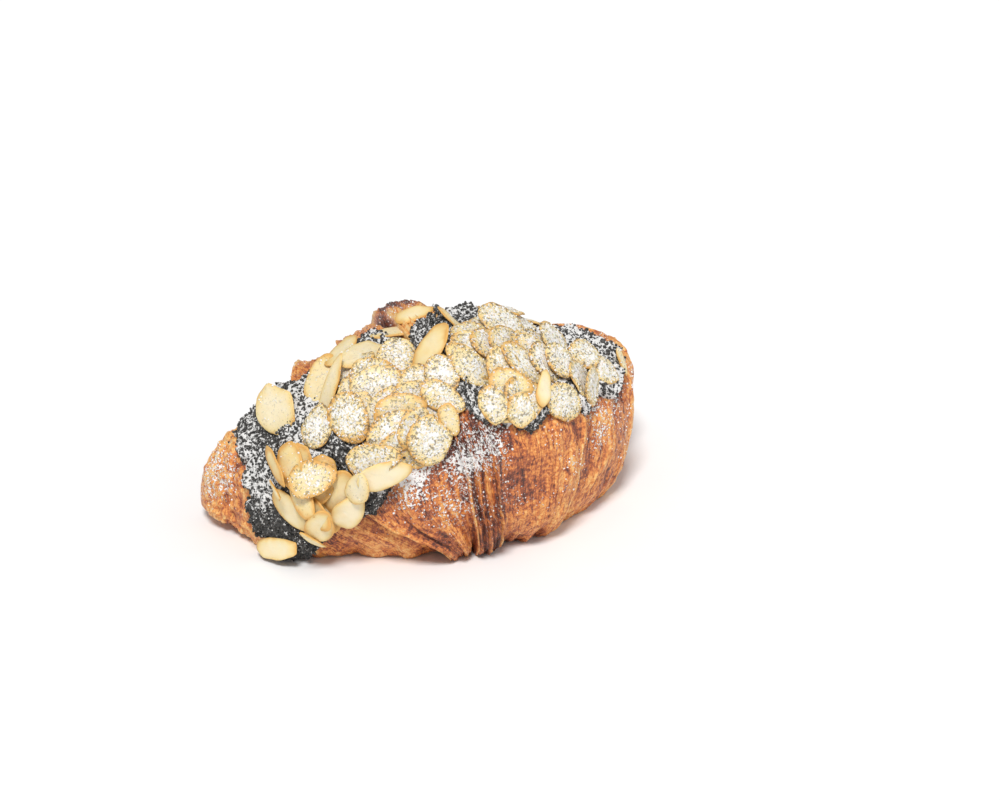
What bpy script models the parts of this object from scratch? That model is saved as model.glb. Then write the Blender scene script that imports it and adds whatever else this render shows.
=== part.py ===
"""Almond croissant: a rolled crescent of pastry under a crumbly black sesame layer with flaked almonds.

Metres, +Z up. The chord from end to end runs along X, the belly faces -Y and both ends bend back
towards +Y. The origin is under the middle of the bounding box, on the plane the flat base rests on.
A place on the roll is a station, from -1 at the left end to 1 at the right one, and an angle in
degrees round the roll: 0 underneath, 90 at the front, 180 on top and 270 at the back.
"""
import math

import bmesh
import bpy
import numpy as np

# Driving dimensions of the roll, in metres
HALF_CHORD = 0.0741
BEND = 0.0350
FRONT_WIDTH = 0.0482
BACK_WIDTH = 0.0385
HEIGHT = 0.0600
GIRTH_EXPONENT = 2.6
WIDEST_STATION = -0.157
SPRING_LINE = 0.50
BASE_SPREAD = 1.25

# How each end closes: width and height follow (1 - |q| ** shoulder) ** exponent
LEFT_END = {"shoulder": 1.35, "width": 0.62, "height": 0.465,
            "lift": 0.0045, "lift_from": 0.72, "lift_to": 1.02}
RIGHT_END = {"shoulder": 1.20, "width": 0.66, "height": 0.42,
             "lift": 0.0085, "lift_from": 0.35, "lift_to": 1.0}

# Wrap edges from the left end to the right, as (angle, station) knots round the roll
WRAP_EDGES = (
    ((0, -0.50), (60, -0.64), (90, -0.69), (150, -0.70), (185, -0.66), (260, -0.60), (320, -0.52)),
    ((0, -0.21), (55, -0.25), (66, -0.34), (72, -0.41), (84, -0.50), (120, -0.56), (150, -0.55),
     (186, -0.516), (240, -0.46), (300, -0.34)),
    ((0, -0.13), (46, -0.170), (84, -0.222), (114, -0.259), (150, -0.27), (211, -0.247), (290, -0.20)),
    ((0, -0.07), (50, -0.104), (84, -0.147), (103, -0.167), (120, -0.190), (150, -0.165), (186, -0.10),
     (240, -0.07), (320, -0.06)),
    ((0, 0.06), (60, 0.10), (90, 0.15), (150, 0.20), (200, 0.20), (280, 0.14)),
    ((0, 0.34), (60, 0.44), (90, 0.48), (150, 0.56), (200, 0.56), (280, 0.44)),
)
WRAPS = len(WRAP_EDGES) + 1
BAND = 3
WRAP_RINGS = (10, 7, 10, 16, 8, 7, 10)
RINGS_AROUND = 26
END_CROWDING = 1.8

# Relief of the wraps, in metres
LIP_STEP = (0.0024, 0.0040, 0.0028, 0.0028, 0.0036, 0.0032)
LIP_WIDTH = 0.12
PILLOW = 0.0012
RELIEF_MEAN = 0.0018
BAND_CREST = 0.0030
CREST_RISE = (130.0, 190.0)
CREST_FALL = (210.0, 250.0)
RIDGE_DEPTH = 0.0008
RIDGES = 4
# Shallow hollows, and swellings with a negative depth, as (station, angle, reach along, reach round, depth)
HOLLOWS = ((-0.46, 52.0, 0.11, 26.0, 0.0028), (0.46, 188.0, 0.09, 38.0, 0.0050),
           (-0.69, 46.0, 0.08, 20.0, -0.0040), (-0.665, 195.0, 0.050, 28.0, -0.0038))
BASE_ANGLE = 24.0
BASE_FADE = 26.0
END_FADE = 0.4

# Sesame layer, in metres; outside its outline the solid it is cut from shrinks by a share
LAYER_THICKNESS = 0.0034
LAYER_SUNK = 0.16
LAYER_EDGE = 0.0035
LAYER_CLEAR = 0.0006
LAYER_LUMP = 0.0006
LAYER_LOBES = ((3.0, 31.0, 0.0), (2.0, 53.0, 1.0))
LAYER_END_WAVES = ((0.010, 5.0), (0.006, 11.0))
ARC_PER_DEGREE = 0.00075
LAYER_FOLLOWS = 0.85
LAYER_LEFT = ((0, -0.76), (54, -0.765), (72, -0.79), (110, -0.815), (180, -0.88), (230, -0.86))
LAYER_RIGHT = 0.54
LAYER_FRONT = ((-0.80, 45), (-0.72, 41), (-0.66, 46), (-0.625, 58), (-0.575, 66), (-0.53, 80), (-0.46, 84), (-0.40, 99),
               (-0.35, 108), (-0.28, 117), (-0.22, 124), (-0.165, 116), (-0.10, 112), (0.35, 112), (0.54, 126))
LAYER_BACK = ((-0.88, 184), (-0.82, 183), (-0.77, 192), (-0.72, 190), (-0.67, 182), (-0.58, 181), (-0.46, 187),
              (-0.28, 192), (-0.16, 186), (-0.08, 192), (0.10, 198), (0.40, 196), (0.54, 176))
LAYER_RINGS = 54
LAYER_AROUND = 33
GAP = 0.0003

# Flaked almonds, in metres: rows from one place on the roll to another, as (start, end, count,
# length, width, heading in degrees, pitch, roll, height over the layer)
FLAKE_THICKNESS = 0.0010
FLAKE_SIDES = 11
FLAKE_TAPER = 0.16
FLAKE_TOP = 0.93
FLAKE_CURL_RADIUS = 0.055
FLAKE_JITTER = {"station": 0.014, "angle": 3.0, "heading": 28.0, "tilt": 6.0, "size": 0.10}
FLAKE_SEED = 29
FLAKE_ROWS = (
    ((-0.58, 167), (-0.27, 184), 7, 0.0170, 0.0105, 15, 4, -4, 0.0008),
    ((-0.60, 155), (-0.56, 159), 2, 0.0150, 0.0080, 50, 2, -4, 0.0014),
    ((-0.50, 149), (-0.29, 144), 4, 0.0155, 0.0110, 15, 3, 8, 0.0006),
    ((-0.42, 159), (-0.36, 155), 2, 0.0150, 0.0100, 10, 3, 4, 0.0006),
    ((-0.50, 130), (-0.25, 131), 5, 0.0160, 0.0110, 30, -3, 8, 0.0009),
    ((-0.46, 112), (-0.30, 110), 4, 0.0160, 0.0110, 25, 0, 6, 0.0009),
    ((-0.47, 101), (-0.40, 103), 2, 0.0160, 0.0110, 20, 0, 6, 0.0010),
    ((-0.56, 123), (-0.54, 115), 2, 0.0150, 0.0100, 70, 4, 2, 0.0006),
    ((-0.645, 112), (-0.58, 98), 3, 0.0140, 0.0100, 70, 10, 8, 0.0014),
    ((-0.61, 86), (-0.50, 90), 4, 0.0145, 0.0105, 65, -4, 10, 0.0012),
    ((-0.62, 80), (-0.56, 80), 2, 0.0150, 0.0110, 60, 0, 4, 0.0008),
    ((-0.18, 156), (0.09, 151), 6, 0.0150, 0.0105, 10, 3, 6, 0.0008),
    ((-0.09, 177), (0.09, 172), 4, 0.0150, 0.0100, 30, 3, 3, 0.0008),
    ((-0.03, 166), (0.08, 164), 2, 0.0145, 0.0100, 0, 3, 3, 0.0012),
    ((-0.18, 141), (0.08, 137), 6, 0.0150, 0.0105, -20, -3, 8, 0.0009),
    ((-0.13, 127), (-0.04, 121), 3, 0.0145, 0.0100, -45, -4, 8, 0.0009),
    ((0.16, 149), (0.44, 149), 4, 0.0145, 0.0105, 10, 2, 4, 0.0006),
    ((0.10, 125), (0.42, 134), 4, 0.0145, 0.0100, -20, 2, 4, 0.0006),
    ((-0.44, 188), (0.44, 186), 6, 0.0150, 0.0100, 0, 2, 2, 0.0006),
    ((-0.695, 162), (-0.695, 162), 1, 0.0170, 0.0150, 70, 4, -10, 0.0018),
    ((-0.685, 108), (-0.685, 108), 1, 0.0140, 0.0070, -58, 8, 42, 0.0024),
    ((-0.182, 184), (-0.182, 184), 1, 0.0170, 0.0090, -12, 4, -8, 0.0016),
    ((-0.225, 165), (-0.225, 165), 1, 0.0150, 0.0105, 68, 12, 6, 0.0018),
    ((-0.585, 73), (-0.585, 73), 1, 0.0140, 0.0032, -50, 4, 0, 0.0012),
    ((-0.695, 64.5), (-0.695, 64.5), 1, 0.0175, 0.0090, 5, 0, -30, 0.0006),
)


def smoothstep(value):
    """Ease from 0 to 1 as the value runs from 0 to 1."""
    t = np.clip(value, 0.0, 1.0)
    return t * t * (3.0 - 2.0 * t)


def round_roll(knots, angle):
    """Read (angle, value) knots smoothly all the way round the roll."""
    at, values = np.array(knots, dtype=float).T
    offsets = (-10.0, -5.0, 0.0, 5.0, 10.0)
    return sum(np.interp(angle + offset, at, values, period=360.0) for offset in offsets) / len(offsets)


def ends_of(station):
    """Share of the full width, height and lift of the plain roll at a station."""
    span = np.where(station < WIDEST_STATION, 1.0 + WIDEST_STATION, 1.0 - WIDEST_STATION)
    share = np.abs(station - WIDEST_STATION) / span

    def pick(key):
        return np.where(station < WIDEST_STATION, LEFT_END[key], RIGHT_END[key])

    closing = np.clip(1.0 - share ** pick("shoulder"), 0.0, 1.0)
    fullness = closing ** pick("width")
    height = HEIGHT * closing ** pick("height")
    lift = pick("lift") * smoothstep((share - pick("lift_from")) / (pick("lift_to") - pick("lift_from")))
    return fullness, height, lift


def plain_roll(station, angle):
    """Surface of the crescent before its wraps are cut in, as points."""
    fullness, height, lift = ends_of(station)
    run, rise = HALF_CHORD, 2.0 * BEND * station
    length = np.hypot(run, rise)
    turn = np.radians(angle) - math.pi / 2.0
    across = np.sign(np.cos(turn)) * np.abs(np.cos(turn)) ** (2.0 / GIRTH_EXPONENT)
    upward = np.sign(np.sin(turn)) * np.abs(np.sin(turn)) ** (2.0 / GIRTH_EXPONENT)
    middle = SPRING_LINE * height
    above = middle + (height - middle) * upward
    below = np.maximum(middle + BASE_SPREAD * middle * upward, 0.0)
    reach = fullness * across * np.where(across > 0.0, FRONT_WIDTH, BACK_WIDTH)
    x = HALF_CHORD * station + reach * rise / length
    y = BEND * station ** 2 - reach * run / length
    return np.stack([x, y, np.where(upward > 0.0, above, below) + lift], axis=-1)


def outward(station, angle):
    """Unit normals of the plain roll, from small steps along and round it."""
    inner = np.clip(station, -0.998, 0.998)
    along = plain_roll(inner + 1e-3, angle) - plain_roll(inner - 1e-3, angle)
    around = plain_roll(inner, angle + 0.5) - plain_roll(inner, angle - 0.5)
    normal = np.cross(along, around)
    return normal / np.maximum(np.linalg.norm(normal, axis=-1, keepdims=True), 1e-12)


def edge_stations(angle):
    """Stations of both ends and of every wrap edge at an angle, one row each."""
    edges = [round_roll(knots, angle) for knots in WRAP_EDGES]
    return np.stack([np.full_like(angle, -1.0), *edges, np.full_like(angle, 1.0)])


def station_of(wrap, angle):
    """Station of a wrap coordinate, which counts wraps from the left end."""
    edges = edge_stations(angle)
    index = np.minimum(wrap.astype(int), WRAPS - 1)
    left = np.take_along_axis(edges, index[None], axis=0)[0]
    right = np.take_along_axis(edges, index[None] + 1, axis=0)[0]
    return left + (right - left) * (wrap - index)


def wrap_of(station, angle):
    """Wrap coordinate of a station, the inverse of station_of."""
    edges = edge_stations(angle)
    index = np.clip((station[None] >= edges).sum(axis=0) - 1, 0, WRAPS - 1)
    left = np.take_along_axis(edges, index[None], axis=0)[0]
    right = np.take_along_axis(edges, index[None] + 1, axis=0)[0]
    return index + (station - left) / (right - left)


def wrap_relief(wrap, angle):
    """Height of the wraps over the plain roll: stepped lips, pillowed backs and the ribbed band."""
    height = np.full_like(wrap, -RELIEF_MEAN)
    band = smoothstep((wrap - BAND) / LIP_WIDTH + 0.5) * smoothstep((BAND + 1 - wrap) / LIP_WIDTH + 0.5)
    for edge, step in enumerate(LIP_STEP, start=1):
        beyond = wrap - edge if edge < BAND + 1 else edge - wrap
        tucked = 1.0 if edge in (BAND, BAND + 1) else 1.0 - np.clip(beyond, 0.0, 1.0)
        share = 0.5 * band if edge in (BAND, BAND + 1) else smoothstep(beyond / LIP_WIDTH + 0.5)
        height = height + step * share * tucked
    fraction = wrap - np.floor(wrap)
    height = height + PILLOW * (1.0 - band) * np.sin(np.pi * fraction)
    crest = smoothstep((angle - CREST_RISE[0]) / (CREST_RISE[1] - CREST_RISE[0]))
    crest = crest * smoothstep((CREST_FALL[1] - angle) / (CREST_FALL[1] - CREST_FALL[0]))
    ridges = RIDGE_DEPTH * np.cos(2.0 * np.pi * RIDGES * (wrap - BAND))
    height = height + band * (BAND_CREST * crest + ridges)
    station = station_of(wrap, angle)
    for at_station, at_angle, along, around, depth in HOLLOWS:
        away = ((station - at_station) / along) ** 2 + ((angle - at_angle) / around) ** 2
        height = height - depth * np.exp(-away)
    from_base = np.minimum(angle, 360.0 - angle)
    ends = smoothstep(wrap / END_FADE) * smoothstep((WRAPS - wrap) / END_FADE)
    return height * smoothstep((from_base - BASE_ANGLE) / BASE_FADE) * ends


def pastry_points(wrap, angle, grow=0.0):
    """Surface of the rolled pastry, pushed out by a distance."""
    station = station_of(wrap, angle)
    points = plain_roll(station, angle)
    points = points + outward(station, angle) * (wrap_relief(wrap, angle) + grow)[..., None]
    points[..., 2] = np.maximum(points[..., 2], -grow)
    return points


def layer_inside(station, angle):
    """Distance into the sesame layer from its lobed outline, in edge widths, negative outside."""
    lobes = sum(size * np.sin(turns * station + phase) for size, turns, phase in LAYER_LOBES)
    wave = sum(size * np.sin(np.radians(angle * turns)) for size, turns in LAYER_END_WAVES)
    front = (angle - np.interp(station, *np.array(LAYER_FRONT, dtype=float).T) - lobes) * ARC_PER_DEGREE
    back = (np.interp(station, *np.array(LAYER_BACK, dtype=float).T) + lobes - angle) * ARC_PER_DEGREE
    left = (station - np.interp(angle, *np.array(LAYER_LEFT, dtype=float).T) + wave) * HALF_CHORD
    right = (LAYER_RIGHT + wave - station) * HALF_CHORD
    return np.minimum(np.minimum(front, back), np.minimum(left, right)) / LAYER_EDGE


def layer_points(wrap, angle):
    """Outer surface of the sesame layer, which softens the wrap steps and stops at its outline."""
    station = station_of(wrap, angle)
    inside = layer_inside(station, angle)
    rounded = np.sqrt(np.clip(1.0 - (1.0 - np.clip(inside, 0.0, 1.0)) ** 2, 0.0, 1.0))
    lumps = LAYER_LUMP * np.sin(61.0 * station + angle / 9.0) * np.sin(angle / 5.0 + 23.0 * station)
    height = LAYER_FOLLOWS * wrap_relief(wrap, angle) + rounded * (LAYER_THICKNESS + lumps)
    points = plain_roll(station, angle) + outward(station, angle) * height[..., None]
    front, back = (plain_roll(station, np.full_like(angle, side)) for side in (90.0, 270.0))
    spine = 0.5 * (front + back)
    shrink = LAYER_SUNK * np.clip(-inside, 0.0, 1.0)[..., None]
    points = points + (spine - points) * shrink
    points[..., 2] = np.maximum(points[..., 2], LAYER_CLEAR)
    return points


def ring_wraps(counts):
    """Wrap coordinates of the rings, even along each wrap and crowded towards both ends."""
    last = len(counts) - 1
    rings = []
    for index, count in enumerate(counts):
        steps = (np.arange(count) + 0.5) / count
        if index == 0:
            steps = ((np.arange(count) + 1.0) / (count + 0.5)) ** END_CROWDING
        if index == last:
            steps = 1.0 - ((np.arange(count)[::-1] + 1.0) / (count + 0.5)) ** END_CROWDING
        rings.extend(index + steps)
    return np.array(rings)


def wrapped_sphere(name, rings, around, place):
    """A closed sphere of rings whose vertices are moved to place(wrap, angle)."""
    bm = bmesh.new()
    bmesh.ops.create_uvsphere(bm, u_segments=around, v_segments=len(rings) + 1, radius=1.0)
    cells = np.array([vertex.co for vertex in bm.verts])
    stops = np.concatenate([[0.0], rings, [float(WRAPS)]])
    index = np.rint((1.0 - np.arccos(np.clip(cells[:, 2], -1.0, 1.0)) / math.pi) * (len(rings) + 1))
    angle = np.degrees(np.arctan2(-cells[:, 0], -cells[:, 1])) % 360.0
    for vertex, point in zip(bm.verts, place(stops[index.astype(int)], angle)):
        vertex.co = point
    bmesh.ops.triangulate(bm, faces=bm.faces[:])
    mesh = bpy.data.meshes.new(name)
    bm.to_mesh(mesh)
    bm.free()
    return bpy.data.objects.new(name, mesh)


def local_frame(station, angle):
    """Point on the sesame layer, and the directions along, up and out of the roll there."""
    place = np.array([[station]]), np.array([[angle]])
    wrap = wrap_of(*place)
    point = layer_points(wrap, place[1])[0, 0]
    out = outward(*place)[0, 0]
    along = (plain_roll(place[0] + 1e-3, place[1]) - plain_roll(place[0] - 1e-3, place[1]))[0, 0]
    along = along / np.linalg.norm(along)
    return point, along, np.cross(out, along), out


def almond_flake(name, row, share, draws):
    """One slice of almond, an egg-shaped disc curled a little and laid on the sesame layer."""
    start, end, _, length, width, heading, pitch, roll, height = row
    station = start[0] + (end[0] - start[0]) * share + FLAKE_JITTER["station"] * draws[0]
    angle = start[1] + (end[1] - start[1]) * share + FLAKE_JITTER["angle"] * draws[1]
    turn = math.radians(heading + FLAKE_JITTER["heading"] * draws[2])
    lean = math.radians(pitch + FLAKE_JITTER["tilt"] * draws[3])
    bank = math.radians(roll + FLAKE_JITTER["tilt"] * draws[4])
    size = 1.0 + FLAKE_JITTER["size"] * draws[5]

    bm = bmesh.new()
    bmesh.ops.create_cone(bm, cap_ends=True, cap_tris=True, segments=FLAKE_SIDES,
                          radius1=1.0, radius2=FLAKE_TOP, depth=1.0)
    cells = np.array([vertex.co for vertex in bm.verts])
    x = 0.5 * size * length * cells[:, 0]
    y = 0.5 * size * width * cells[:, 1] * (1.0 - FLAKE_TAPER * cells[:, 0])
    z = FLAKE_THICKNESS * cells[:, 2] - (x ** 2 + y ** 2) / (2.0 * FLAKE_CURL_RADIUS)

    point, along, up, out = local_frame(station, angle)
    long_axis = math.cos(turn) * along + math.sin(turn) * up
    side_axis = np.cross(out, long_axis)
    tipped_long = math.cos(lean) * long_axis + math.sin(lean) * out
    tipped_out = np.cross(tipped_long, side_axis)
    tipped_side = math.cos(bank) * side_axis + math.sin(bank) * tipped_out
    normal = np.cross(tipped_long, tipped_side)
    centre = point + out * height
    places = centre + np.outer(x, tipped_long) + np.outer(y, tipped_side) + np.outer(z, normal)
    for vertex, position in zip(bm.verts, places):
        vertex.co = position
    bmesh.ops.triangulate(bm, faces=bm.faces[:])
    mesh = bpy.data.meshes.new(name)
    bm.to_mesh(mesh)
    bm.free()
    return bpy.data.objects.new(name, mesh)


def principled(name, colour, roughness):
    """A plain Principled BSDF material."""
    material = bpy.data.materials.new(name)
    material.use_nodes = True
    shader = material.node_tree.nodes["Principled BSDF"]
    shader.inputs["Base Color"].default_value = (*colour, 1.0)
    shader.inputs["Roughness"].default_value = roughness
    shader.inputs["Metallic"].default_value = 0.0
    return material


def new_collection(name):
    collection = bpy.data.collections.new(name)
    bpy.context.scene.collection.children.link(collection)
    return collection


def bake_modifiers(target):
    """Replace an object's mesh by its evaluated one and clear its modifiers."""
    bpy.context.view_layer.update()
    evaluated = target.evaluated_get(bpy.context.evaluated_depsgraph_get())
    mesh = bpy.data.meshes.new_from_object(evaluated)
    target.modifiers.clear()
    target.data = mesh


def keep_main_body(target):
    """Drop loose scraps and fill sealed hollows: only the largest connected shell stays."""
    bm = bmesh.new()
    bm.from_mesh(target.data)
    unseen = set(bm.verts)
    shells = []
    while unseen:
        shell = {unseen.pop()}
        front = list(shell)
        while front:
            vertex = front.pop()
            fresh = {edge.other_vert(vertex) for edge in vertex.link_edges} - shell
            shell |= fresh
            front.extend(fresh)
        unseen -= shell
        shells.append(shell)
    shells.sort(key=len, reverse=True)
    scraps = [vertex for shell in shells[1:] for vertex in shell]
    bmesh.ops.delete(bm, geom=scraps, context="VERTS")
    bm.to_mesh(target.data)
    bm.free()


def build_pastry(parts, material):
    pastry = wrapped_sphere("pastry", ring_wraps(WRAP_RINGS), RINGS_AROUND, pastry_points)
    pastry.data.materials.append(material)
    pastry.data.shade_smooth()
    pastry.data.set_sharp_from_angle(angle=math.radians(50.0))
    parts.objects.link(pastry)
    return pastry


def build_topping(parts, cutters, material):
    """Sesame layer with its almonds fused on, cut to lie a hair over the pastry."""
    rings = np.linspace(0.0, WRAPS, LAYER_RINGS + 2)[1:-1]
    topping = wrapped_sphere("sesame_topping", rings, LAYER_AROUND, layer_points)
    parts.objects.link(topping)

    almonds = new_collection("almond_flakes")
    rng = np.random.default_rng(FLAKE_SEED)
    for row_index, row in enumerate(FLAKE_ROWS):
        for index in range(row[2]):
            draws = rng.uniform(-1.0, 1.0, 6) * (row[2] > 1)
            flake = almond_flake(f"flake_{row_index}_{index}", row, (index + 0.5) / row[2], draws)
            almonds.objects.link(flake)

    union = topping.modifiers.new("almonds", "BOOLEAN")
    union.operation = "UNION"
    union.operand_type = "COLLECTION"
    union.collection = almonds
    union.solver = "EXACT"
    bake_modifiers(topping)
    for flake in list(almonds.objects):
        bpy.data.objects.remove(flake, do_unlink=True)
    bpy.data.collections.remove(almonds)

    cleared = wrapped_sphere("pastry_clearance", ring_wraps(WRAP_RINGS), RINGS_AROUND,
                             lambda wrap, angle: pastry_points(wrap, angle, GAP))
    cleared.hide_render = True
    cleared.display_type = "WIRE"
    cutters.objects.link(cleared)
    cut = topping.modifiers.new("seat", "BOOLEAN")
    cut.operation = "DIFFERENCE"
    cut.object = cleared
    cut.solver = "EXACT"
    bake_modifiers(topping)
    keep_main_body(topping)
    topping.data.materials.clear()
    topping.data.materials.append(material)
    return topping


def centre_over_origin(objects):
    """Move the meshes so that the joint bounding box is centred on the Z axis."""
    corners = np.array([vertex.co for item in objects for vertex in item.data.vertices])
    middle = (corners.min(axis=0) + corners.max(axis=0)) / 2.0
    for item in objects:
        for vertex in item.data.vertices:
            vertex.co.x -= middle[0]
            vertex.co.y -= middle[1]


def main():
    for item in list(bpy.data.objects):
        bpy.data.objects.remove(item, do_unlink=True)
    parts = new_collection("almond_croissant")
    cutters = new_collection("cutters")
    crust = principled("baked_crust", (0.46, 0.17, 0.06), 0.55)
    sesame = principled("sesame_and_almond", (0.10, 0.10, 0.09), 0.85)
    pastry = build_pastry(parts, crust)
    topping = build_topping(parts, cutters, sesame)
    centre_over_origin([pastry, topping])


if __name__ == "__main__":
    main()
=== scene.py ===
"""Almond croissant, dressed: baked crust, crumbly black sesame cream, flaked almonds and icing sugar.

Metres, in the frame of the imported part: X along the chord from the topped end, -Y the bulging front, +Z up.
A place on the roll is a station, from -1 at the left end to 1 at the right one, and an angle in degrees
round the roll: 0 underneath, 90 in front, 180 on top and 270 behind.
"""
import logging
import math
from dataclasses import dataclass, field, replace
from enum import Enum
from functools import cached_property
from typing import Sequence

import bpy
import numpy as np
from mathutils import Matrix, Vector


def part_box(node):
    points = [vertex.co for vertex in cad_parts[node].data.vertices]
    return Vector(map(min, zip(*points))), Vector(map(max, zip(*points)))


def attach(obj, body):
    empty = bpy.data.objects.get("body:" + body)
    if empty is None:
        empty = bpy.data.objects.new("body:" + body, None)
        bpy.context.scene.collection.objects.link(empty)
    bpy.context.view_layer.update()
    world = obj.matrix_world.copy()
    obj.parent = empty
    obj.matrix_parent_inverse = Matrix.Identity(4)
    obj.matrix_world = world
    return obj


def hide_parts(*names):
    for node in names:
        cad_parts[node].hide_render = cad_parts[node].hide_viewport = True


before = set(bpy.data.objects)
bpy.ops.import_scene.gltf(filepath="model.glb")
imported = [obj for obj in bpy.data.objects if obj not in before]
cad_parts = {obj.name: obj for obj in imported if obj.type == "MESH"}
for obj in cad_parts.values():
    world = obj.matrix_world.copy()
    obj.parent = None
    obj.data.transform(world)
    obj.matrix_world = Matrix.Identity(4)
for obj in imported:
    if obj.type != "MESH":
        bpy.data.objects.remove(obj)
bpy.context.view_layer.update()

Array = np.ndarray
Colour = tuple[float, float, float]
Socket = bpy.types.NodeSocket
LOG = logging.getLogger("almond_croissant")


def smoothstep(value: Array | float) -> Array:
    """Ease from 0 to 1 as the value runs from 0 to 1: 3 t^2 - 2 t^3 of the value held between them."""
    t = np.clip(value, 0.0, 1.0)
    return t * t * (3.0 - 2.0 * t)


def ramp(value: Array | float, low: float, high: float) -> Array:
    """Ease from 0 at low to 1 at high."""
    return smoothstep((value - low) / (high - low))


def fade(value: Array | float, low: float, high: float) -> Array:
    """Ease from 1 at low to 0 at high."""
    return ramp(-value, -high, -low)


def window(value: Array | float, span: tuple) -> Array:
    """Ease from 0 to 1 over the first two numbers of a span, and back to 0 over its last two."""
    return ramp(value, *span[:2]) * fade(value, *span[2:])


def bell(value: Array, centre: float, half_width: float) -> Array:
    """Rounded bump of height 1: e to the minus squared distance from its centre, in half widths."""
    return np.exp(-((value - centre) / half_width) ** 2)


def spots(at: "Places", table: Sequence) -> Array:
    """Sum of rounded spots: each its strength times a bump along the roll and one round it.

    Args:
        at: Places on the roll.
        table: Station, angle, half width along, half width round and strength of each spot.

    Returns:
        The sum at each place.
    """
    total = np.zeros_like(at.station)
    for station, angle, along, round_it, strength in table:
        total = total + strength * bell(at.station, station, along) * bell(at.angle, angle, round_it)
    return total


@dataclass(frozen=True)
class Zone:
    """Soft-edged part of the roll: each span eases in over its first two numbers, out over its last two."""

    amount: float
    wraps: tuple | None = None
    stations: tuple | None = None
    angles: tuple | None = None

    @staticmethod
    def total(zones: "Sequence[Zone]", at: "Places") -> Array:
        """Sum of zones: each its amount times the eased share of every span that it has.

        Args:
            zones: The zones.
            at: Places on the roll.

        Returns:
            The sum at each place.
        """
        amount = np.zeros_like(at.station)
        for zone in zones:
            share = np.full_like(at.station, zone.amount)
            for span, value in ((zone.wraps, at.wrap), (zone.stations, at.station), (zone.angles, at.angle)):
                if span:
                    share = share * window(value, span)
            amount = amount + share
        return amount


@dataclass(frozen=True)
class Noise:
    """Smooth random field: hashed values at the corners of a cubic lattice, eased between them."""

    seed: int

    def corner(self, cell: Array, salt: int = 0) -> Array:
        """Hash cells, with products and shifted bits of their three numbers.

        Args:
            cell: Whole numbers, three per cell.
            salt: A second seed.

        Returns:
            A value between 0 and 1 per cell.
        """
        mixed = (cell[..., 0] * 73856093) ^ (cell[..., 1] * 19349663) ^ (cell[..., 2] * 83492791)
        mixed = (mixed ^ (self.seed * 2654435761 + salt * 40503)) & 0xFFFFFFFF
        mixed = ((mixed ^ (mixed >> 15)) * 2246822519) & 0xFFFFFFFF
        mixed = ((mixed ^ (mixed >> 13)) * 3266489917) & 0xFFFFFFFF
        return ((mixed ^ (mixed >> 16)) & 0xFFFFFF) / float(0xFFFFFF)

    def at(self, points: Array, size: float) -> Array:
        """Field at points: the hashed corners round each, weighted by the eased distance to them.

        Args:
            points: The points.
            size: Size of the lumps.

        Returns:
            A value between -1 and 1 per point.
        """
        scaled = points / size
        cell = np.floor(scaled).astype(np.int64)
        part = smoothstep(scaled - cell)
        total = np.zeros(points.shape[:-1])
        for corner in range(8):
            step = np.array([corner & 1, (corner >> 1) & 1, (corner >> 2) & 1])
            share = np.prod(np.where(step == 1, part, 1.0 - part), axis=-1)
            total += share * self.corner(cell + step)
        return 2.0 * total - 1.0

    def layered(self, points: Array, size: float, octaves: int = 3, gain: float = 0.5) -> Array:
        """Sum of fields, each at half the size and a share of the strength of the one before.

        Args:
            points: The points.
            size: Size of the largest lumps.
            octaves: Number of fields.
            gain: That share.

        Returns:
            A value per point.
        """
        total = np.zeros(points.shape[:-1])
        for octave in range(octaves):
            total += gain ** octave * Noise(self.seed + 17 * octave).at(points, size / 2.0 ** octave)
        return total

    def pebbles(self, points: Array, size: float) -> Array:
        """Rounded grains: one minus the distance, in grain sizes, to the nearest shifted lattice point.

        Args:
            points: The points.
            size: Size of a grain.

        Returns:
            1 at the middle of a grain, about 0.5 between two, and never less than 0.
        """
        scaled = points / size
        cell = np.floor(scaled).astype(np.int64)
        nearest = np.full(points.shape[:-1], 9.0)
        for index in range(27):
            corner = cell + np.array([index % 3 - 1, index // 3 % 3 - 1, index // 9 - 1])
            place = corner + np.stack([self.corner(corner, salt) for salt in (1, 2, 3)], axis=-1)
            nearest = np.minimum(nearest, np.sum((scaled - place) ** 2, axis=-1))
        return 1.0 - np.clip(np.sqrt(nearest), 0.0, 1.0)


class Random(Enum):
    """What varies at random over the surfaces, with the seed of each."""

    RAGGED_LIPS = 4
    RIB_SWAY = 5
    RIB_DEPTH = 6
    WRINKLES = 7
    BLISTERS = 8
    TORN_SKIN = 9
    BAKE_CLOUDS = 11
    CRUST_SUGAR = 12
    LEAVES = 13
    LEAF_DRIFT = 14
    CRACK_PATH = 15
    TIP_CRUMBS = 16
    CREAM_RIM = 21
    CREAM_LUMPS = 22
    CREAM_CRUMBS = 23
    CREAM_GRIT = 24
    CREAM_SUGAR = 25

    @property
    def noise(self) -> Noise:
        """Its random field."""
        return Noise(self.value)


@dataclass(frozen=True)
class End:
    """How one end of the roll closes: width and height follow (1 - share ** shoulder) ** exponent."""

    shoulder: float
    width: float
    height: float
    lift: float
    lift_from: float
    lift_to: float


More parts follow.
